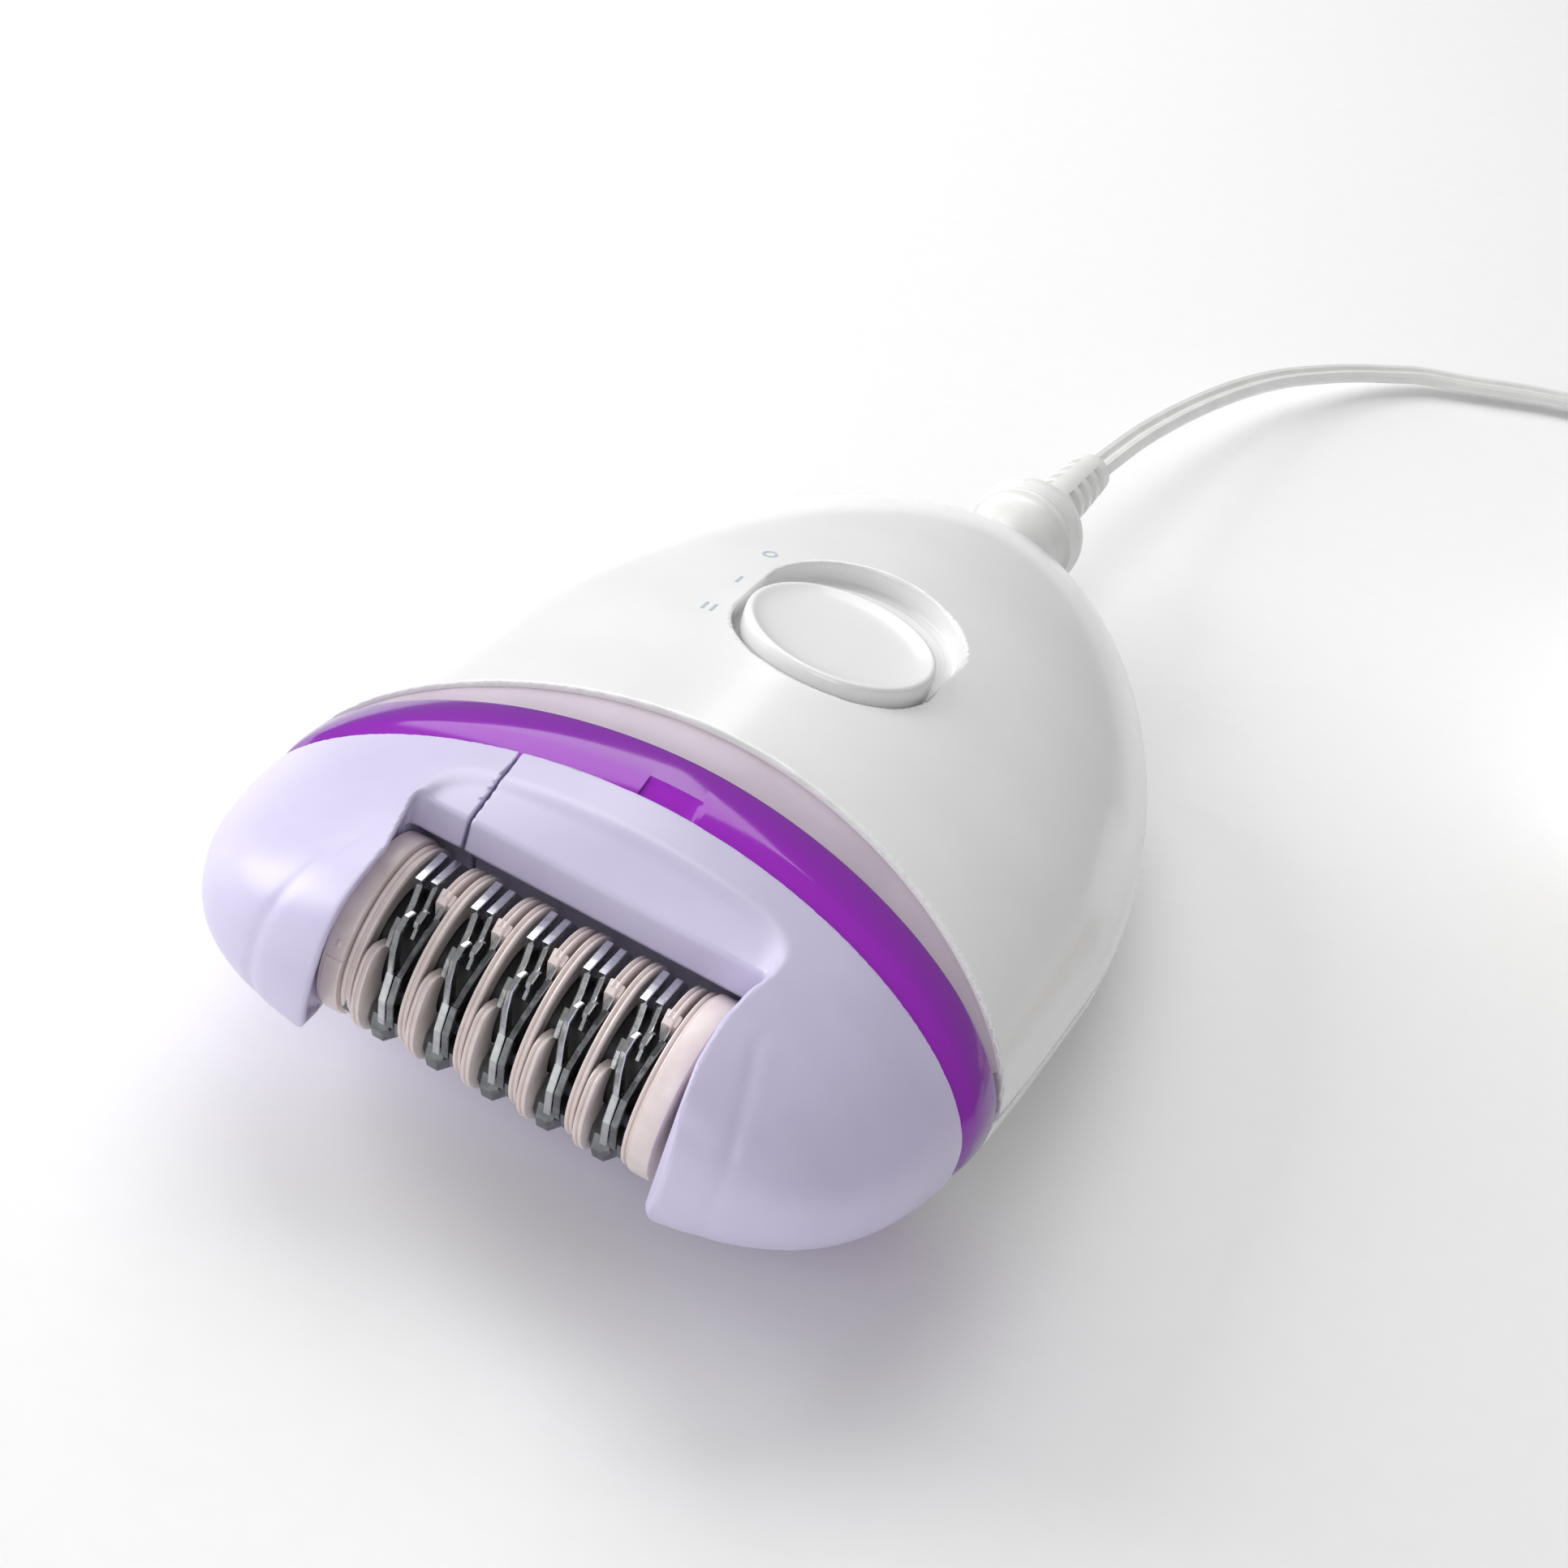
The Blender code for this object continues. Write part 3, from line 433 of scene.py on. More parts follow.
def radial_distance(x, y, z):
    """Distance from the skin measured along the line from the section's axis."""
    width, top, bottom, axis = section(y)
    rise = z - axis
    upper = rise >= 0
    power = np.where(upper, TOP_POWER, BOTTOM_POWER)
    height = np.where(upper, top, bottom)
    size = ((np.abs(x) / width) ** power + (np.abs(rise) / height) ** power) ** (1 / power)
    reach = np.sqrt(x * x + rise * rise) + 1e-6
    return reach - reach / np.maximum(size, 1e-4)


def skin_distance(points):
    """Nearly the true distance from the skin, negative inside."""
    x, y, z = points.T
    here = radial_distance(x, y, z)
    slant = (radial_distance(x, y + 0.04, z) - radial_distance(x, y - 0.04, z)) / 0.08
    ends = np.maximum(WIDEST_Y - HEAD_LENGTH + 0.02 - y, y - (WIDEST_Y + TAIL_LENGTH))
    return np.maximum(here / np.sqrt(1 + slant * slant), ends)


def skin_height(x, y):
    """The height of the upper skin over (x, y)."""
    width, top, _, axis = section(y)
    return axis + top * np.maximum(1 - (np.abs(x) / width) ** TOP_POWER, 0) ** (1 / TOP_POWER)


def skin_point(angle, y, inset):
    """The point of the skin at an angle round the section at y, moved in by inset."""
    c, s = math.cos(angle), math.sin(angle)
    power = TOP_POWER if s >= 0 else BOTTOM_POWER
    width, top, bottom, axis = (float(v) for v in section(np.float64(y)))
    across = math.copysign(abs(c) ** (2 / power), c)
    up = math.copysign(abs(s) ** (2 / power), s)
    height = (top if s >= 0 else bottom) - inset
    return across * max(width - inset, 0.2), y, max(axis + height * up, inset)


def edge_y(edge, angle):
    """Where a housing's curved edge line lies along Y at an angle round the section."""
    power = TOP_POWER if math.sin(angle) >= 0 else BOTTOM_POWER
    return edge[0] + edge[1] * abs(math.cos(angle)) ** (4 / power)


def edge_distance(points, edge):
    """How far in front of a housing's curved edge line a point lies, positive towards the cable."""
    width = section(points[:, 1])[0]
    return points[:, 1] - (edge[0] + edge[1] * np.minimum(np.abs(points[:, 0]) / width, 1.0) ** 2)


def banded(angles, profile, front, rear, tuck=None):
    """A ring of skin between two edges. The profile gives (share from front to rear, inset), outside then in.
    A share over 1 is that many millimetres past the rear edge, plus 1."""
    sections = []
    for angle in angles:
        y0, y1 = edge_y(front, angle), edge_y(rear, angle)
        loop = []
        for share, inset in profile:
            more = tuck(angle, share) if tuck else 0.0
            y = y0 + (y1 - y0) * min(share, 1.0) + max(share - 1.0, 0.0)
            loop.append(skin_point(angle, y, inset + more))
        sections.append(loop)
    return sections


# ---- handle ----

def oval_distance(x, y, half_x, half_y):
    """Distance from an oval drawn out along Y by the switch's travel."""
    shifted = y - BUTTON_Y - np.clip(y - BUTTON_Y, 0.0, SWITCH_TRAVEL)
    near = np.sqrt((x / half_x) ** 2 + (shifted / half_y) ** 2) + 1e-6
    steep = np.sqrt((x / half_x**2) ** 2 + (shifted / half_y**2) ** 2) + 1e-6
    return near * (near - 1) / steep


def top_housing():
    """The front housing: a thin shell with its lip edge and the switch's recess cut through."""
    def field(points):
        x, y, z = points.T
        skin = skin_distance(points)
        oval = oval_distance(x, y, BUTTON_HALF[0] + RECESS_MARGIN, BUTTON_HALF[1] + RECESS_MARGIN)
        recess_wall = np.maximum(oval - 1.2, 25.0 - z)
        outer = both(skin, -np.maximum(oval, 20.0 - z), 0.35)
        shell = np.maximum(outer, -np.maximum(skin + WALL, -recess_wall))
        above = section(y)[3] + 0.15 - z
        edges = both(-edge_distance(points, LIP_EDGE), y - TAIL_END)
        return both(both(shell, above, 0.25), edges, 0.3)
    points, faces, normals = surface_of(field, (-36, -27, 8), (36, 58.5, 32.5), HANDLE_GRID)
    piece("top_housing", points, faces, "handle", WHITE, "white_shell", ("front_housing",), normals=normals)


def bottom_housing():
    """The rear housing: a shell flattened where it rests, with three screw posts and their open wells."""
    def field(points):
        x, y, z = points.T
        skin = both(skin_distance(points), -z, 0.6)
        shell = both(skin, -(skin + WALL))
        below = z - section(y)[3] + 0.15
        front = -edge_distance(points, (RING_REAR[0] + GAP, RING_REAR[1]))
        tail = y - TAIL_END
        shell = both(both(shell, below, 0.25), both(front, tail), 0.4)
        for sx, sy, radius in SCREW_HEADS:
            boss = np.hypot(x - sx, y - sy)
            post = np.maximum(boss - radius - 1.5, z - 9.0)
            shell = either(shell, np.maximum(post, np.maximum(below, -skin - 9.0)), 0.2)
            shell = both(shell, -(boss - radius - 0.35), 0.3)
        return np.maximum(shell, skin)
    points, faces, normals = surface_of(field, (-36, -28, -1), (36, 58.5, 17.5), HANDLE_GRID)
    piece("bottom_housing", points, faces, "handle", WHITE, "white_shell", ("rear_housing",), normals=normals)


def collar_and_ring():
    """The collar under the front housing's lip, and the faceted ring between it and the head."""
    angles = [math.radians(a) for a in np.linspace(15, 165, 181)]
    profile = [(0.0, 1.0), (0.04, 0.8), (0.25, 0.95), (0.5, 0.98), (0.75, 0.85), (1.0, 0.6), (1.6, 0.6),
               (1.8, 3.0), (0.0, 3.0)]
    points, faces = swept(banded(angles, profile, (RING_REAR[0] + GAP, RING_REAR[1]), LIP_EDGE))
    # the collar's grey-mauve is painted shade under the lip, with a painted purple reflection from the ring
    piece("neck_collar", points, faces, "handle", COLLAR_PAINTED_SHADE, "mauve_collar", ("neck_band",))

    width = float(section(np.float64(RING_FRONT[0]))[0])
    marks = {x: math.acos(math.copysign((abs(x) / width) ** (TOP_POWER / 2), x))
             for x in (-3.1, -2.98, 1.3, 2.6)}
    angles = sorted(list(np.linspace(0, 2 * np.pi, 360, endpoint=False)) + list(marks.values()))

    def notch(angle, share):
        """The ring's catch: its front facet drops, with a step at its left end and a ramp at its right."""
        if share > 0.36 or math.sin(angle) < 0.5:
            return 0.0
        if marks[1.3] <= angle <= marks[-2.98]:
            return NOTCH_DEPTH
        if marks[2.6] < angle < marks[1.3]:
            return NOTCH_DEPTH * (angle - marks[2.6]) / (marks[1.3] - marks[2.6])
        return 0.0

    profile = [(0.0, 1.15), (0.03, 0.95), (0.34, 0.18), (0.38, 0.08), (0.6, -0.02), (0.9, 0.02), (0.97, 0.12),
               (1.0, 0.4), (1.0, 2.6), (0.0, 2.6)]
    points, faces = swept(banded(angles, profile, RING_FRONT, RING_REAR, notch), closed=True)
    piece("accent_ring_faceted", points, faces, "handle", PURPLE, "purple_ring", ("accent_ring",))


def switch_tray():
    """The floor of the switch's recess: a ledge round its wall and a slightly raised middle."""
    def loop(margin, z):
        found = []
        for k in range(96):
            a = 2 * math.pi * (k + 0.5) / 96
            x = (BUTTON_HALF[0] + RECESS_MARGIN + margin) * math.cos(a)
            y = (BUTTON_HALF[1] + RECESS_MARGIN + margin) * math.sin(a)
            found.append((x, y + BUTTON_Y + (SWITCH_TRAVEL if y > 0 else 0.0), z))
        return found
    rows = ((0.1, 25.2), (0.1, 27.0), (-0.15, 26.78), (-0.4, 26.7), (-1.15, 26.7), (-1.3, 26.8),
            (-1.45, 26.92), (-1.7, 26.95), (-8.4, 26.95))
    points, faces = swept([loop(margin, z) for margin, z in rows])
    piece("switch_recess_tray", points, faces, "handle", WHITE, "white_shell", ("switch_bed",))


def switch_button():
    """The dished oval button with its rounded rim: rows of (share of its half size, height)."""
    rows = ((0.97, 27.9), (0.995, 28.2), (1.0, 28.6), (1.0, 30.0), (0.996, 30.3), (0.986, 30.54),
            (0.968, 30.7), (0.945, 30.76), (0.92, 30.72), (0.89, 30.62), (0.84, 30.5), (0.75, 30.4),
            (0.6, 30.33), (0.4, 30.28), (0.2, 30.26), (0.06, 30.25))
    turn = Matrix.Rotation(SWITCH_TILT, 3, "X")
    loops = []
    for share, z in rows:
        loop = []
        for k in range(144):
            a = 2 * math.pi * k / 144
            place = Vector((BUTTON_HALF[0] * share * math.cos(a), BUTTON_HALF[1] * share * math.sin(a),
                            z - TILT_HEIGHT))
            loop.append(tuple(turn @ place + Vector((0.25, BUTTON_Y, TILT_HEIGHT))))
        loops.append(loop)
    points, faces = swept(loops)
    piece("switch_button_dished", points, faces, "switch", WHITE, "white_shell", ("switch_button",))


def position_marks():
    """Generic position marks beside the switch: a ring for off, then one bar and two bars."""
    def decal(name, outlines):
        points, faces = [], []
        for outline in outlines:
            start, n = len(points), len(outline)
            top = [(x, y, float(skin_height(np.float64(x), np.float64(y))) + INK_STANDS)
                   for x, y in outline]
            points += top + [(x, y, z - INK_DEPTH) for x, y, z in top]
            faces.append(tuple(range(start, start + n)))
            faces.append(tuple(range(start + n, start + 2 * n)))
            faces += [(start + i, start + (i + 1) % n, start + n + (i + 1) % n, start + n + i)
                      for i in range(n)]
        piece(name, *outward(points, faces), "handle", INK, smooth=False)

    def bar(x, y):
        return [(x - 0.14, y - 0.75), (x + 0.14, y - 0.75), (x + 0.14, y + 0.75), (x - 0.14, y + 0.75)]
    arcs = []
    for k in range(24):
        a, b = (2 * math.pi * (k + j) / 24 for j in (0, 1))
        arcs.append([(-11.75 + r * math.cos(t), 17.2 + r * math.sin(t))
                     for r, t in ((0.75, a), (0.75, b), (0.47, b), (0.47, a))])
    decal("mark_off", arcs)
    decal("mark_one", [bar(-11.75, 9.9)])
    decal("mark_two", [bar(-12.05, 3.0), bar(-11.2, 3.0)])


# ---- head ----

def head_field(points):
    """Both head shells as one: the skin, less the hollow, the scoop, the opening and the cylinder's bay."""
    x, y, z = points.T
    skin = skin_distance(points)
    solid = both(skin, -z, 0.5)
    line = 17.9 + 2.9 * np.clip((-47.7 - y) / 8.0, 0, 1.3)
    fade = np.clip((-45.0 - y) / 4.0, 0, 1) * np.clip((z - 10.0) / 5.0, 0, 1)
    for side in (1.0, -1.0):
        solid = solid + 0.13 * fade * np.exp(-(((side * x - line) / 0.7) ** 2))
    solid = both(solid, edge_distance(points, (RING_FRONT[0] - GAP, RING_FRONT[1])), 0.3)
    block = np.maximum(np.maximum(BAY_ENDS[0] - 1.5 - x, x - BAY_ENDS[1] - 1.8), y + 32.6)
    hollow = np.maximum(np.maximum(skin + WALL, -(y + 54.0)), -block)
    solid = both(solid, -hollow, 0.3)
    # the sloping recess above the cylinder: ruled from the skin down to a straight edge
    left = np.interp(y, (-57.0, -53.4, -48.1, -45.0, -41.2, -38.0),
                     (-15.0, -15.1, -15.25, -16.0, -16.9, -17.1))
    right = np.interp(y, (-57.5, -57.0, -56.5, -55.2, -52.1, -47.9, -44.0, -39.2),
                      (18.4, 17.2, 16.3, 15.6, 14.95, 14.6, 14.8, 15.3))
    # each cheek's lower corner is drawn back, so that it ends blunt
    back = 0.42 * np.clip(15.0 - z, 0, 9) * np.clip((-43.0 - y) / 4.0, 0, 1)
    sides = np.maximum(x - right - back, left - back - x)
    share = np.clip((y + 39.7) / 5.4, 0.0, 1.4)
    floor = 28.0 + (skin_height(x, np.full_like(y, -34.3)) - 28.0) * share
    scoop = both((floor - z) / 1.15, both(sides, y + 34.6, 4.5), 1.6)
    solid = both(solid, -np.maximum(scoop, -41.9 - y), 0.6)
    # the open front, in two steps: a face above the cylinder and a lip below it
    front = np.minimum(np.maximum(y + 41.75, z - 20.0), np.maximum(y + 39.8, 16.0 - z))
    solid = both(solid, -both(front, sides, 0.9), 0.45)
    # the space round the end rings, under thin overhanging cheeks
    bay = np.maximum(np.hypot(y - BARREL_Y, z - BARREL_Z) - BAY_RADIUS,
                     np.maximum(BAY_ENDS[0] - x, x - BAY_ENDS[1]))
    below_cheeks = np.maximum(np.maximum(BAY_ENDS[0] - 0.2 - x, x - BAY_ENDS[1]),
                              np.maximum(y + 41.0, 5.0 - z))
    below_cheeks = np.maximum(below_cheeks, skin + CHEEK_LIP)
    hub = np.maximum(np.hypot(y - BARREL_Y, z - BARREL_Z) - 2.9, np.abs(x + 17.5) - 2.2)
    return both(solid, -np.minimum(np.minimum(bay, below_cheeks), hub), 0.25)


def seam_distance(points):
    """How far right of the kinked seam a point lies."""
    (x0, y0), (x1, y1), (x2, y2) = SEAM
    y = points[:, 1]
    line = np.where(y > y1, x1 + (y - y1) * (x0 - x1) / (y0 - y1), x1 + (y - y1) * (x2 - x1) / (y2 - y1))
    return points[:, 0] - line


def head_shells():
    """The head's two shells, parted at the seam."""
    parts = (("head_cap_left", 1.0, (-36, -59, -1), (-9, -29, 34), "head_left_shell"),
             ("head_cap_right", -1.0, (-17, -59, -1), (36, -29, 34), "head_right_shell"))
    for name, side, low, high, node in parts:
        def field(points, side=side):
            return both(head_field(points), side * seam_distance(points) + SEAM_HALF_GAP, 0.12)
        points, faces, normals = surface_of(field, low, high, HEAD_GRID)
        piece(name, points, faces, "head", LAVENDER, "lavender_head", (node,), normals=normals)


# ---- tweezer cylinder ----

def around(theta, radius, x):
    """A point on the cylinder: theta in degrees from the cable side, over the top, to the front."""
    a = math.radians(theta)
    return x, BARREL_Y + radius * math.cos(a), BARREL_Z + radius * math.sin(a)


def strip(path, height, width, bevel=0.06):
    """A bar with a chamfered outer face, through (theta, x, outer radius) points on the cylinder."""
    sections = []
    for theta, x, radius in path:
        b = min(bevel, width / 3)
        shape = [(-width / 2, -height), (width / 2, -height), (width / 2, -b), (width / 2 - b, 0),
                 (-width / 2 + b, 0), (-width / 2, -b)]
        sections.append([around(theta, radius + dr, x + dx) for dx, dr in shape])
    return swept(sections)


def fine(path, steps):
    """The path with points added between its own."""
    made = []
    for (a0, b0, c0), (a1, b1, c1) in zip(path, path[1:]):
        for k in range(steps):
            t = k / steps
            made.append((a0 + (a1 - a0) * t, b0 + (b1 - b0) * t, c0 + (c1 - c0) * t))
    return made + [path[-1]]


def arc_disc(first, last, x, width, radius, nose):
    """Part of a disc with two ridges round its rim and rounded ends, from one angle to another."""
    inner = HUB_RADIUS
    profile = [(0.0, -0.25), (0.06, -0.08), (0.2, 0.0), (0.36, -0.06), (0.46, -0.28), (0.54, -0.28),
               (0.64, -0.06), (0.8, 0.0), (0.94, -0.08), (1.0, -0.25)]
    sections = []
    for theta in np.linspace(first, last, max(int((last - first) / 3), 6) + 1):
        end = min(theta - first, last - theta) / nose
        drop = 0.0 if end >= 1 else (radius - inner - 0.6) * (1 - math.sqrt(max(1 - (1 - end) ** 2, 0.0)))
        loop = [around(theta, radius - drop + dr, x + share * width) for share, dr in profile]
        loop += [around(theta, inner, x + 0.78 * width), around(theta, inner, x + 0.22 * width)]
        sections.append(loop)
    return swept(sections)


def full_disc(x, width):
    """A disc with two ridges round its rim, and a face sunk a little inside the rim."""
    r = BARREL_RADIUS
    rim = [(-0.22, 0.0), (-0.06, 0.06), (0.0, 0.2), (-0.06, 0.36), (-0.28, 0.46), (-0.28, 0.54),
           (-0.06, 0.64), (0.0, 0.8), (-0.06, 0.94), (-0.22, 1.0)]
    profile = [(HUB_RADIUS, x + 0.3 * width), (r - 1.0, x + 0.3 * width), (r - 0.75, x + 0.02)]
    profile += [(r + dr, x + share * width) for dr, share in rim]
    profile += [(r - 0.75, x + width - 0.02), (r - 1.0, x + 0.7 * width), (HUB_RADIUS, x + 0.7 * width)]
    return turned(profile, 120, (0.0, BARREL_Y, BARREL_Z))


def end_ring(x0, x1):
    """A plain ring at one end of the cylinder, with rounded rims."""
    r = BARREL_RADIUS + 0.25
    profile = [(HUB_RADIUS, x0), (r - 0.35, x0), (r - 0.08, x0 + 0.1), (r, x0 + 0.35), (r, x1 - 0.35),
               (r - 0.08, x1 - 0.1), (r - 0.35, x1), (HUB_RADIUS, x1)]
    return turned(profile, 128, (0.0, BARREL_Y, BARREL_Z))


def tweezer_group(number, start):
    """One set of tweezers: two bent blades and their springs between the arc discs and a full disc.
    Each bar's path is (angle, distance from the group's start, height over the disc's radius)."""
    r = BARREL_RADIUS

    def bars(*runs):
        return join(*[strip([(theta, start + x, r + dr) for theta, x, dr in path], height, width, bevel)
                      for path, height, width, bevel in runs])

    def steel_piece(name, shape, material=STEEL, slot=None, stands_for=(), crisp=BLADE_CRISP):
        piece("%s_%d" % (name, number), *shape, "cylinder", material, slot, stands_for, crisp=crisp)

    steel_piece("tweezer_fixed", bars(
        (((48, 0.3, -0.4), (71, 0.35, 0.1), (105, 0.5, 0.05)), 2.2, 0.7, 0.07),
        (((104, 0.62, -0.5), (116, 0.9, -1.2), (133, 1.05, -1.6)), 1.6, 0.55, 0.08),
        (((131, 0.75, -0.9), (140, 0.85, -0.75), (152, 1.0, -0.8)), 1.5, 0.5, 0.08)),
        slot="tweezer_steel", stands_for=("fixed_tweezer_%d" % number,))
    steel_piece("tweezer_moving", bars(
        (((48, 1.55, -0.5), (70, 1.6, 0.0), (102, 1.7, 0.0)), 2.2, 0.7, 0.07),
        (((102, 1.8, -0.6), (122, 2.15, -1.3), (140, 2.35, -1.5)), 1.6, 0.45, 0.08)),
        slot="tweezer_steel", stands_for=("moving_tweezer_%d" % number,))
    steel_piece("spring_bowed", bars(
        (((123, 1.5, -0.75), (129, 1.4, -0.2), (139, 1.4, 0.0), (151, 1.75, -0.1), (165, 2.25, -0.2)),
         1.3, 0.55, 0.1),
        (((165, 2.28, -0.2), (186, 2.3, -0.2), (214, 2.2, -0.3)), 2.2, 0.66, 0.07)))
    # the leaning spring takes the darker steel copy, which is painted shade
    steel_piece("spring_leaning", bars(
        (((121, 3.6, -0.5), (133, 3.5, -0.3), (151, 3.25, -0.25), (165, 3.05, -0.25)), 1.3, 0.55, 0.1),
        (((165, 3.03, -0.25), (186, 3.0, -0.25), (214, 3.0, -0.35)), 2.2, 0.66, 0.07)), SHADED_STEEL)
    upper = arc_disc(48, 109, start + 2.75, 0.8, r - 0.05, 4.0)
    block = bars((((101, 2.95, -0.1), (111, 3.1, -0.35)), 2.4, 0.9, 0.12),
                 (((101, 3.65, -0.3), (109, 3.65, -0.55)), 2.2, 0.4, 0.1))
    piece("disc_arc_upper_%d" % number, *join(upper, block), "cylinder", BEIGE, "beige_discs",
          ("arc_disc_%d" % number,))
    steel_piece("blade_ends", bars(
        (((111, 3.35, -0.6), (124, 3.4, -0.85)), 1.3, 0.45, 0.08),
        (((118, 2.4, -0.8), (121, 2.35, -0.45), (129, 2.3, -0.5), (132, 2.3, -0.95)), 0.8, 0.6, 0.12)))
    piece("disc_arc_lower_%d" % number, *arc_disc(151, 268, start - 0.1, 0.85, r + 0.55, 13.0),
          "cylinder", BEIGE, "beige_discs")
    piece("disc_full_%d" % number, *full_disc(start + 4.02, 0.8), "cylinder", BEIGE, "beige_discs",
          ("full_disc_%d" % number,))
    # the lever tips take the darker steel copy, which is painted shade
    lever = bars((((214, 1.7, -0.9), (222, 1.8, 0.1), (232, 1.95, 0.65), (242, 2.0, 0.5), (252, 2.0, -0.3),
                   (258, 1.9, -1.4)), 2.8, 1.9, 0.45),
                 (((207, 3.6, -0.6), (222, 3.65, -0.2), (234, 3.65, -0.3), (240, 3.6, -0.9)), 1.6, 0.6, 0.12),
                 (((196, 3.75, -1.2), (214, 3.8, -0.9)), 1.2, 0.4, 0.08))
    steel_piece("lever_tips", lever, SHADED_STEEL, crisp=LEVER_CRISP)


def tweezer_cylinder():
    """The turning cylinder: five tweezer groups between two end rings, on a drum."""
    left, right = BARREL_ENDS
    place = (0.0, BARREL_Y, BARREL_Z)
    for group in range(GROUPS):
        tweezer_group(group + 1, FIRST_GROUP_X + group * GROUP_PITCH)
    # a small boss and a long raised land on the left ring
    boss = strip(fine([(theta, left + 0.9, BARREL_RADIUS + 0.36) for theta in (160, 164)], 5),
                 0.5, 0.35, 0.1)
    land = strip(fine([(theta, left + 0.93, BARREL_RADIUS + 0.34) for theta in (172, 255)], 24),
                 0.8, 1.6, 0.16)
    piece("cylinder_ring_left", *join(end_ring(left - 0.2, left + 1.75), boss, land), "cylinder", BEIGE,
          "beige_discs", ("end_ring_left",))
    piece("cylinder_thin_disc", *full_disc(left + 1.95, 1.0), "cylinder", BEIGE, "beige_discs")
    piece("cylinder_ring_right", *end_ring(right - 1.95, right + 0.1), "cylinder", BEIGE, "beige_discs",
          ("end_ring_right",))
    core = [(1.3, left - 1.7), (2.5, left - 1.7), (2.5, left + 0.4), (DRUM_RADIUS, left + 0.4),
            (DRUM_RADIUS, right), (1.3, right)]
    piece("cylinder_drum", *turned(core, 64, place), "cylinder", BLACK, "dark_plastic", ("barrel_core",))
    # the first lever tip takes the darker steel copy, which is painted shade
    first_lever = strip(fine([(200, left + 2.5, BARREL_RADIUS - 0.5), (214, left + 2.4, BARREL_RADIUS + 0.1),
                              (228, left + 2.3, BARREL_RADIUS - 0.2)], 5), 1.6, 0.8, 0.2)
    piece("lever_tip_first", *first_lever, "cylinder", SHADED_STEEL)


# ---- supply lead ----

# The lead's route in metres, the same points as the part's own.
CORD_POINTS = (
    (0.0, 0.0931, 0.01095), (0.0003, 0.1, 0.0104), (0.0007, 0.107, 0.0098), (0.0012, 0.1135, 0.0091),
    (0.0022, 0.1225, 0.0081), (0.0035, 0.1314, 0.0071), (0.0051, 0.14, 0.0061), (0.0069, 0.1477, 0.0051),
    (0.0088, 0.1538, 0.0043), (0.0109, 0.1591, 0.0036), (0.013, 0.164, 0.00295), (0.0152, 0.1683, 0.0024),
    (0.018, 0.1728, 0.0019), (0.022, 0.1779, 0.0016), (0.0279, 0.1824, 0.0014), (0.0351, 0.1879, 0.0014),
    (0.042, 0.1922, 0.0014), (0.049, 0.1954, 0.0014), (0.057, 0.1974, 0.0014), (0.066, 0.198, 0.0014),
    (0.0745, 0.1976, 0.0015), (0.082, 0.1965, 0.0017),
)
CORD_WIDTH, CORD_THICKNESS = 3.3, 1.7
COIL_CENTRE, COIL_RADII, COIL_LAYERS, LAYER_RISE = (85.0, 170.0), (15.4, 19.0, 22.6), 4, 1.95
ADAPTER_CORNER, ADAPTER_SIZE = (74.0, 81.0), (38.0, 62.0, 27.0)


def smooth_route(points, steps):
    """A smooth curve through the points (Catmull-Rom)."""
    points = [np.array(p, float) for p in points]
    points = [2 * points[0] - points[1]] + points + [2 * points[-1] - points[-2]]
    made = []
    for a, b, c, d in zip(points, points[1:], points[2:], points[3:]):
        for t in np.linspace(0, 1, steps, endpoint=False):
            made.append(0.5 * (2 * b + (c - a) * t + (2 * a - 5 * b + 4 * c - d) * t**2
                               + (3 * b - a - 3 * c + d) * t**3))
    return made + [points[-2]]


def coil_route():
    """The turns of the coil, clockwise: up the outer ring, down the middle one, up the inner one."""
    turns, made = [], []
    for ring, radius in enumerate(reversed(COIL_RADII)):
        levels = range(COIL_LAYERS) if ring % 2 == 0 else reversed(range(COIL_LAYERS))
        turns += [(radius, CORD_THICKNESS / 2 + 0.1 + level * LAYER_RISE) for level in levels]
    turns.append((COIL_RADII[0], turns[-1][1] + LAYER_RISE))
    start, per_turn, cross = math.radians(62), 40, 10
    for number, (radius, z) in enumerate(turns):
        last = number == len(turns) - 1
        next_radius, next_z = (radius, z) if last else turns[number + 1]
        for k in range(9 if last else per_turn):
            share = max(0.0, (k - per_turn + cross) / cross)
            share = share * share * (3 - 2 * share)
            angle = start - 2 * math.pi * k / per_turn
            r = radius + (next_radius - radius) * share
            made.append((COIL_CENTRE[0] + r * math.cos(angle), COIL_CENTRE[1] + r * math.sin(angle),
                         z + (next_z - z) * share))
    return made


def flat_cord(route):
    """Two round cores side by side with a groove between them, swept flat along the route."""
    half, thick = CORD_WIDTH / 2, CORD_THICKNESS / 2
    outline = []
    for side in (1, -1):
        for a in np.linspace(-150, 150, 9):
            t = math.radians(a if side == 1 else 180 + a)
            outline.append((side * (half - thick) + thick * math.cos(t), thick * math.sin(t)))
    sections = []
    route = [np.array(p) for p in route]
    for i, place in enumerate(route):
        ahead = route[min(i + 1, len(route) - 1)] - route[max(i - 1, 0)]
        ahead /= np.linalg.norm(ahead)
        across = np.cross(ahead, (0.0, 0.0, 1.0))
        across /= np.linalg.norm(across)
        up = np.cross(across, ahead)
        sections.append([tuple(place + across * a + up * b) for a, b in outline])
    return swept(sections)


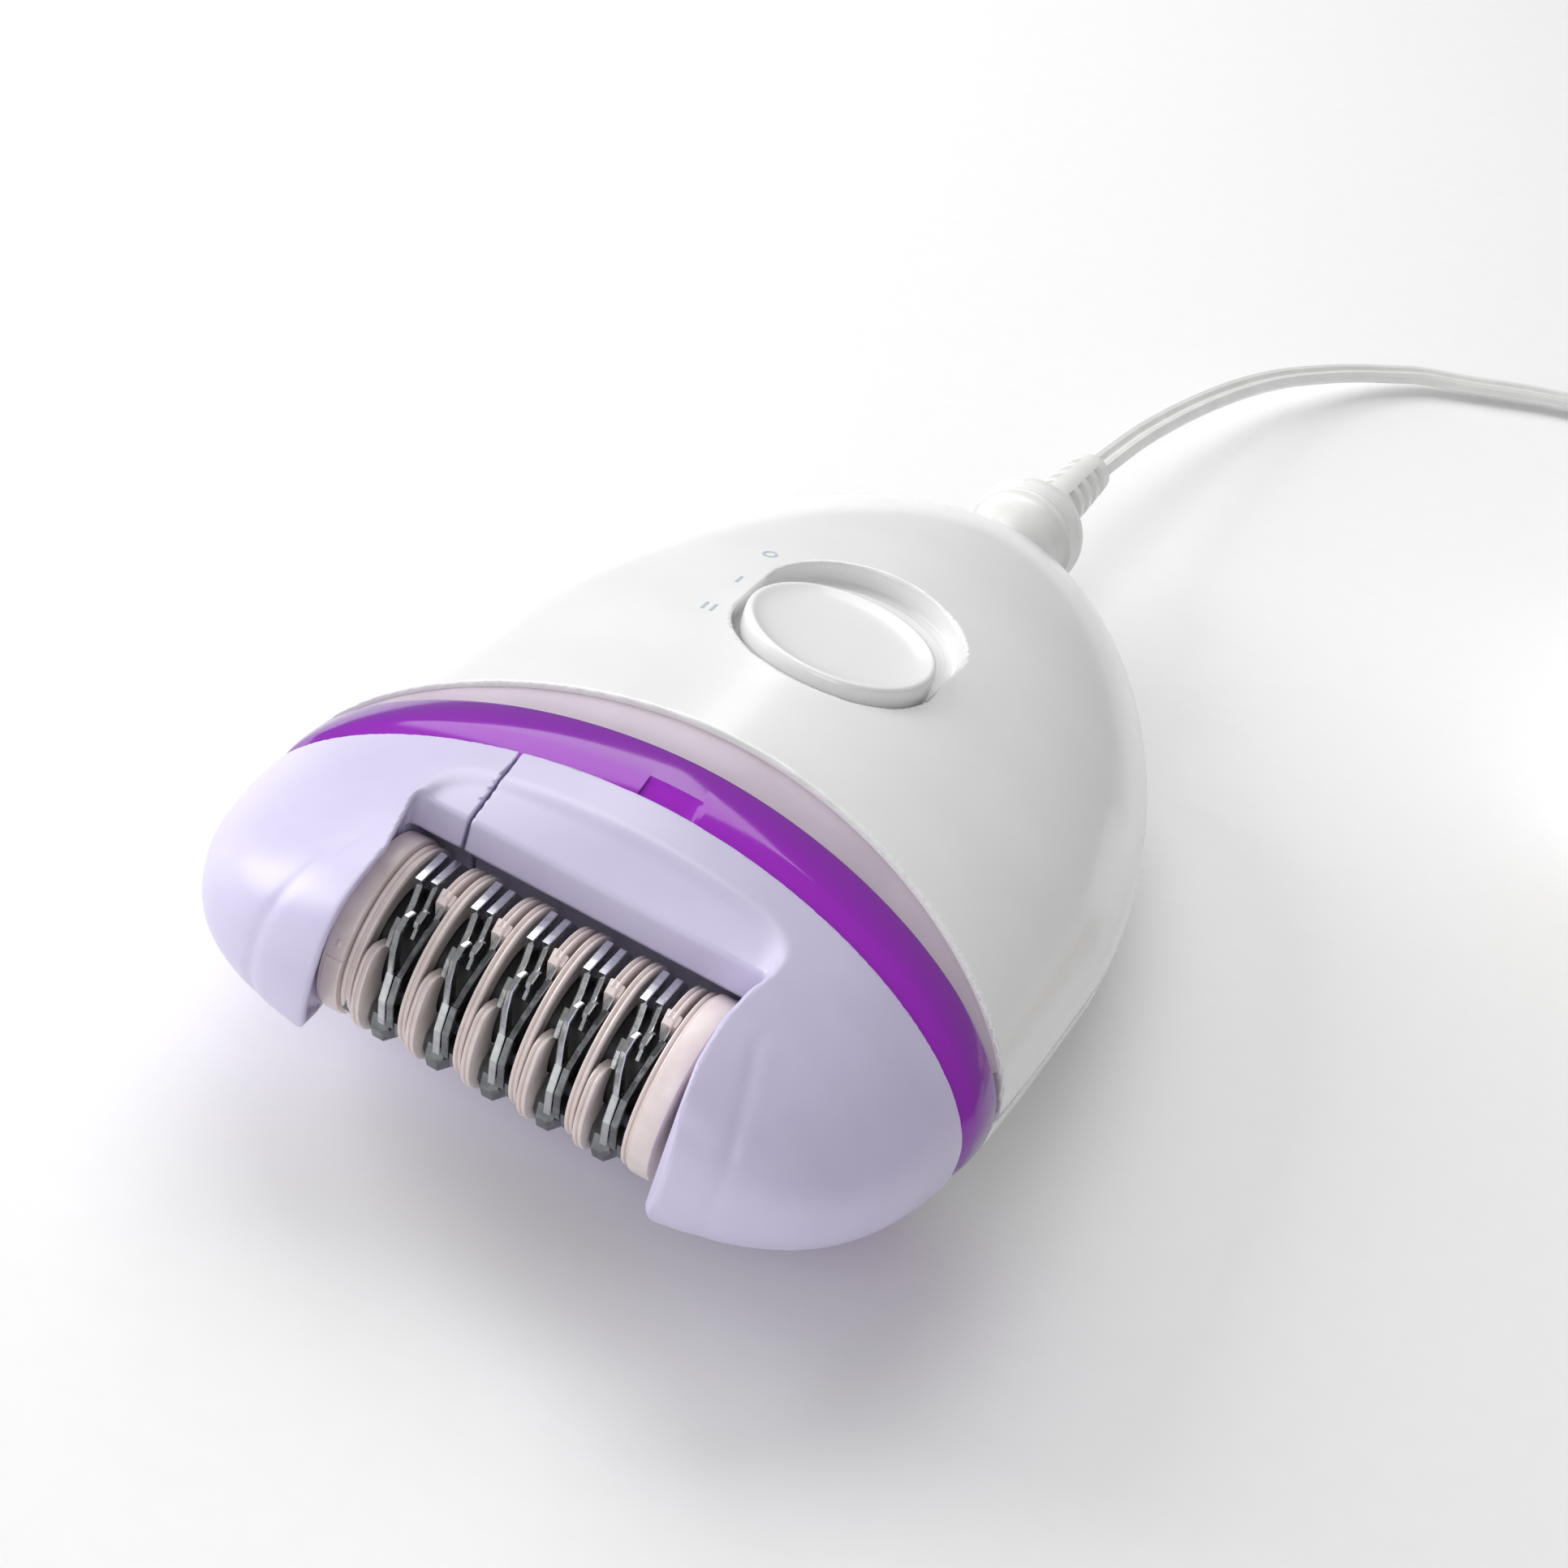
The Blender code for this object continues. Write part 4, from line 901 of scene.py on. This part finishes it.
def lead_pieces():
    """The supply lead from its plug to the wall adapter, swept as one cord."""
    tilt = Matrix.Rotation(math.pi / 2, 3, "Z").to_4x4()
    turn = Matrix.Rotation(PLUG_TILT, 4, "X") @ tilt
    move = Matrix.Translation(Vector(PLUG_START)) @ turn

    def placed(shape):
        points, faces = shape
        return [tuple(move @ Vector(p)) for p in points], faces
    collar = [(0.01, -9.0), (2.6, -9.0), (2.7, -8.6), (2.7, 0.0), (4.5, 0.0), (4.85, 0.5), (5.1, 2.2),
              (5.25, 5.0), (5.28, 8.0), (5.4, 8.6), (5.7, 8.95), (6.0, 9.1), (6.08, 9.35), (6.08, 9.75),
              (5.95, 9.95), (6.12, 10.15), (6.14, 10.5), (5.99, 10.7), (6.17, 10.9), (6.19, 11.25),
              (6.04, 11.45), (6.22, 11.65), (6.26, 12.1), (6.2, 12.7), (5.98, 13.5), (5.55, 14.4),
              (4.9, 15.15), (4.0, 15.65), (3.0, 15.8), (0.01, 15.8)]
    plug = piece("plug_collar", *placed(turned(collar, 96)), "lead", PVC, "white_lead", ("lead_plug",))

    # the strain relief: a tapered sleeve with five deep slots on each side of a solid rib
    slots = [(17.0 + 3.25 * k, 18.75 + 3.25 * k) for k in range(5)]
    along = sorted([15.2, 16.0, 33.0, 33.9, 34.15, 34.25]
                   + [v + d for slot in slots for v in slot for d in (-0.04, 0.04)])
    ribs, rib_half = (90, 270), 24
    around_it = sorted([a for a in range(0, 360, 6) if min(abs(a - rib) for rib in ribs) != rib_half]
                       + [(rib + side * (rib_half + d)) % 360
                          for rib in ribs for side in (1, -1) for d in (-0.8, 0.8)])
    rings = []
    for place in along:
        radius = 3.3 - 0.85 * (place - 15.2) / 19.0 - (0.35 if place > 34.2 else 0.1 if place > 34.0 else 0.0)
        in_slot = any(low < place < high for low, high in slots)
        loop = []
        for a in around_it:
            r = 1.55 if in_slot and min(abs(a - rib) for rib in ribs) > rib_half else radius
            loop.append((place, r * math.cos(math.radians(a)), r * math.sin(math.radians(a))))
        rings.append(loop)
    boot = piece("strain_relief_ladder", *placed(swept(rings)), "lead", PVC, "white_lead",
                 ("strain_relief_boot",), crisp=40)

    coil = coil_route()
    lead = [np.array(p) * 1000 for p in CORD_POINTS]
    to_adapter = [(100.2, 160.5, 8.8), (99.3, 155.0, 9.3), (97.6, 150.0, 10.7), (95.6, 145.5, 12.4),
                  (93.9, 140.5, 13.4), (93.0, 132.0, 13.5), (93.0, 124.0, 13.5)]
    route = smooth_route(lead + coil[:2], 5)[:-1] + coil[2:-1] + smooth_route([coil[-1]] + to_adapter, 5)
    route = [np.array(p, float) for p in route]
    cord = piece("supply_cord_twin", *flat_cord(route), "lead", PVC, "white_lead",
                 ("supply_cord", "cord_coil"))
    tie = piece("cord_tie_band", *tie_shape(COIL_CENTRE[0] + COIL_RADII[1], COIL_CENTRE[1]), "lead", BLACK,
                "dark_plastic", ("cord_tie",))
    adapter, pins = adapter_pieces()


def tie_shape(x, y):
    """A flat strap round the coil, with rounded corners."""
    sections = []
    for side in (-1.9, 1.9):
        for grow in ((0.0, 0.55) if side < 0 else (0.55, 0.0)):
            loop = []
            for k in range(48):
                a = 2 * math.pi * (k + 0.5) / 48
                c, s = math.cos(a), math.sin(a)
                px = math.copysign(abs(c) ** 0.4, c) * (6.0 + grow)
                pz = math.copysign(abs(s) ** 0.4, s) * (4.6 + grow)
                loop.append((x + px, y + side, max(4.9 + pz, 0.05)))
            sections.append(loop)
    return swept(sections, closed=True)


def adapter_pieces():
    """The wall adapter: two moulded halves with rounded edges, a sunk panel on top, and its two pins."""
    x, y = ADAPTER_CORNER
    low, high = np.array((x, y, 0.05)), np.array((x, y, 0.05)) + ADAPTER_SIZE
    centre, half = (low + high) / 2, (high - low) / 2

    def field(points):
        away = np.abs(points - centre) - half + 4.0
        box = np.linalg.norm(np.maximum(away, 0), axis=1) + np.minimum(away.max(1), 0) - 4.0
        groove = np.maximum(np.abs(points[:, 2] - centre[2]) - 0.25, -(box + 0.4))
        panel = np.abs(points[:, :2] - centre[:2]) - (13.0, 20.0)
        panel = np.maximum(both(panel[:, 0], panel[:, 1], 1.5), high[2] - 0.35 - points[:, 2])
        return both(np.maximum(box, -groove), -panel, 0.2)
    points, faces, normals = surface_of(field, low - 1.1, high + 1.1, ADAPTER_GRID)
    adapter = piece("wall_adapter_case", points, faces, "lead", ADAPTER, "white_lead", ("wall_adapter",),
                    normals=normals)
    pins = []
    for number, pin_x in enumerate((x + 9.5, x + 28.5), 1):
        profile = [(0.01, -0.5), (3.2, -0.5), (3.2, 0.0), (2.9, 0.35), (2.0, 0.4), (2.0, 16.6), (1.8, 17.9),
                   (1.2, 18.7), (0.01, 19.0)]
        points, faces = turned(profile, 40)
        points = [(pin_x + across, y - 0.3 - along, 13.5 + up) for along, across, up in points]
        pins.append(piece("adapter_prong_%d" % number, *outward(points, faces), "lead", BRASS, "brass_parts",
                          ("adapter_pin_%d" % number,)))
    return adapter, pins


# ---- CAD nodes that stay ----

def finish_nodes():
    """Each node that still shows gets the finish of its real material."""
    finishes = {BLACK: ("gear_frame", "motor_cradle", "power_socket", "latch_hook_left", "latch_hook_right",
                        "switch_slider"),
                STEEL: ("motor_can", "motor_shaft", "barrel_axle", "compound_gear_pin", "drive_gear_pin",
                        "housing_screw_1", "housing_screw_2", "housing_screw_3", "detent_spring"),
                NATURAL: ("barrel_gear", "drive_gear", "compound_gear"),
                BRASS: ("motor_pinion", "switch_contacts"), BOARD: ("circuit_board",)}
    for material, names in finishes.items():
        for name in names:
            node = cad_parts[name]
            node.data.materials.clear()
            node.data.materials.append(material)


# ---- studio ----

CAMERA_ANGLES, CAMERA_LENS = (14.133, 34.086, 19.165), 75.28
CAMERA_AIM, CAMERA_DISTANCE = (0.41, 3.03, 15.25), 0.3016


def camera():
    """Above the head end and a little to its right, and rolled so that the epilator lies slantwise."""
    azimuth, elevation, roll = (math.radians(a) for a in CAMERA_ANGLES)
    right = Vector((math.cos(azimuth), math.sin(azimuth), 0.0))
    ahead = Vector((-math.sin(azimuth) * math.cos(elevation), math.cos(azimuth) * math.cos(elevation),
                    -math.sin(elevation)))
    up = right.cross(ahead)
    side = math.cos(roll) * right + math.sin(roll) * up
    top = -math.sin(roll) * right + math.cos(roll) * up
    data = bpy.data.cameras.new("camera")
    data.lens, data.sensor_width = CAMERA_LENS, 36.0
    made = bpy.data.objects.new("camera", data)
    bpy.context.scene.collection.objects.link(made)
    place = Vector(CAMERA_AIM) * MM - ahead * CAMERA_DISTANCE
    made.matrix_world = Matrix.Translation(place) @ Matrix((side, top, -ahead)).transposed().to_4x4()
    data.clip_start, data.clip_end = 0.01, 10.0
    bpy.context.scene.camera = made


def soft_light(name, place, aim, size, power):
    """A square white light of a size in metres and a power in watts, turned to face a point."""
    data = bpy.data.lights.new(name, "AREA")
    data.shape, data.size, data.energy = "SQUARE", size, power
    made = bpy.data.objects.new(name, data)
    bpy.context.scene.collection.objects.link(made)
    made.location = place
    made.rotation_euler = (Vector(aim) - Vector(place)).to_track_quat("-Z", "Y").to_euler()


def studio():
    """Three soft lights, an even pale surrounding, and the paper that the epilator lies on."""
    soft_light("overhead_softbox", (-0.3, 0.35, 0.62), (0.0, 0.0, 0.0), 0.6, 2.9)
    soft_light("left_softbox", (-0.62, -0.08, 0.3), (0.0, 0.0, 0.01), 0.4, 3.0)
    soft_light("front_softbox", (0.1, -0.68, 0.42), (0.0, 0.0, 0.01), 0.4, 1.6)
    world = bpy.data.worlds.new("studio")
    bpy.context.scene.world = world
    world.use_nodes = True
    world.node_tree.nodes["Background"].inputs["Color"].default_value = linear("#FFFFFF")
    world.node_tree.nodes["Background"].inputs["Strength"].default_value = 0.3
    mesh = bpy.data.meshes.new("paper_sweep")
    mesh.from_pydata([(-3, -3, 0), (3, -3, 0), (3, 3, 0), (-3, 3, 0)], [], [(0, 1, 2, 3)])
    floor = bpy.data.objects.new("paper_sweep", mesh)
    bpy.context.scene.collection.objects.link(floor)
    mesh.materials.append(PAPER)
    floor.location.z = -0.0003


camera()
studio()
bpy.context.scene.view_settings.view_transform = "Standard"
top_housing()
bottom_housing()
collar_and_ring()
switch_tray()
switch_button()
position_marks()
head_shells()
tweezer_cylinder()
lead_pieces()
finish_nodes()
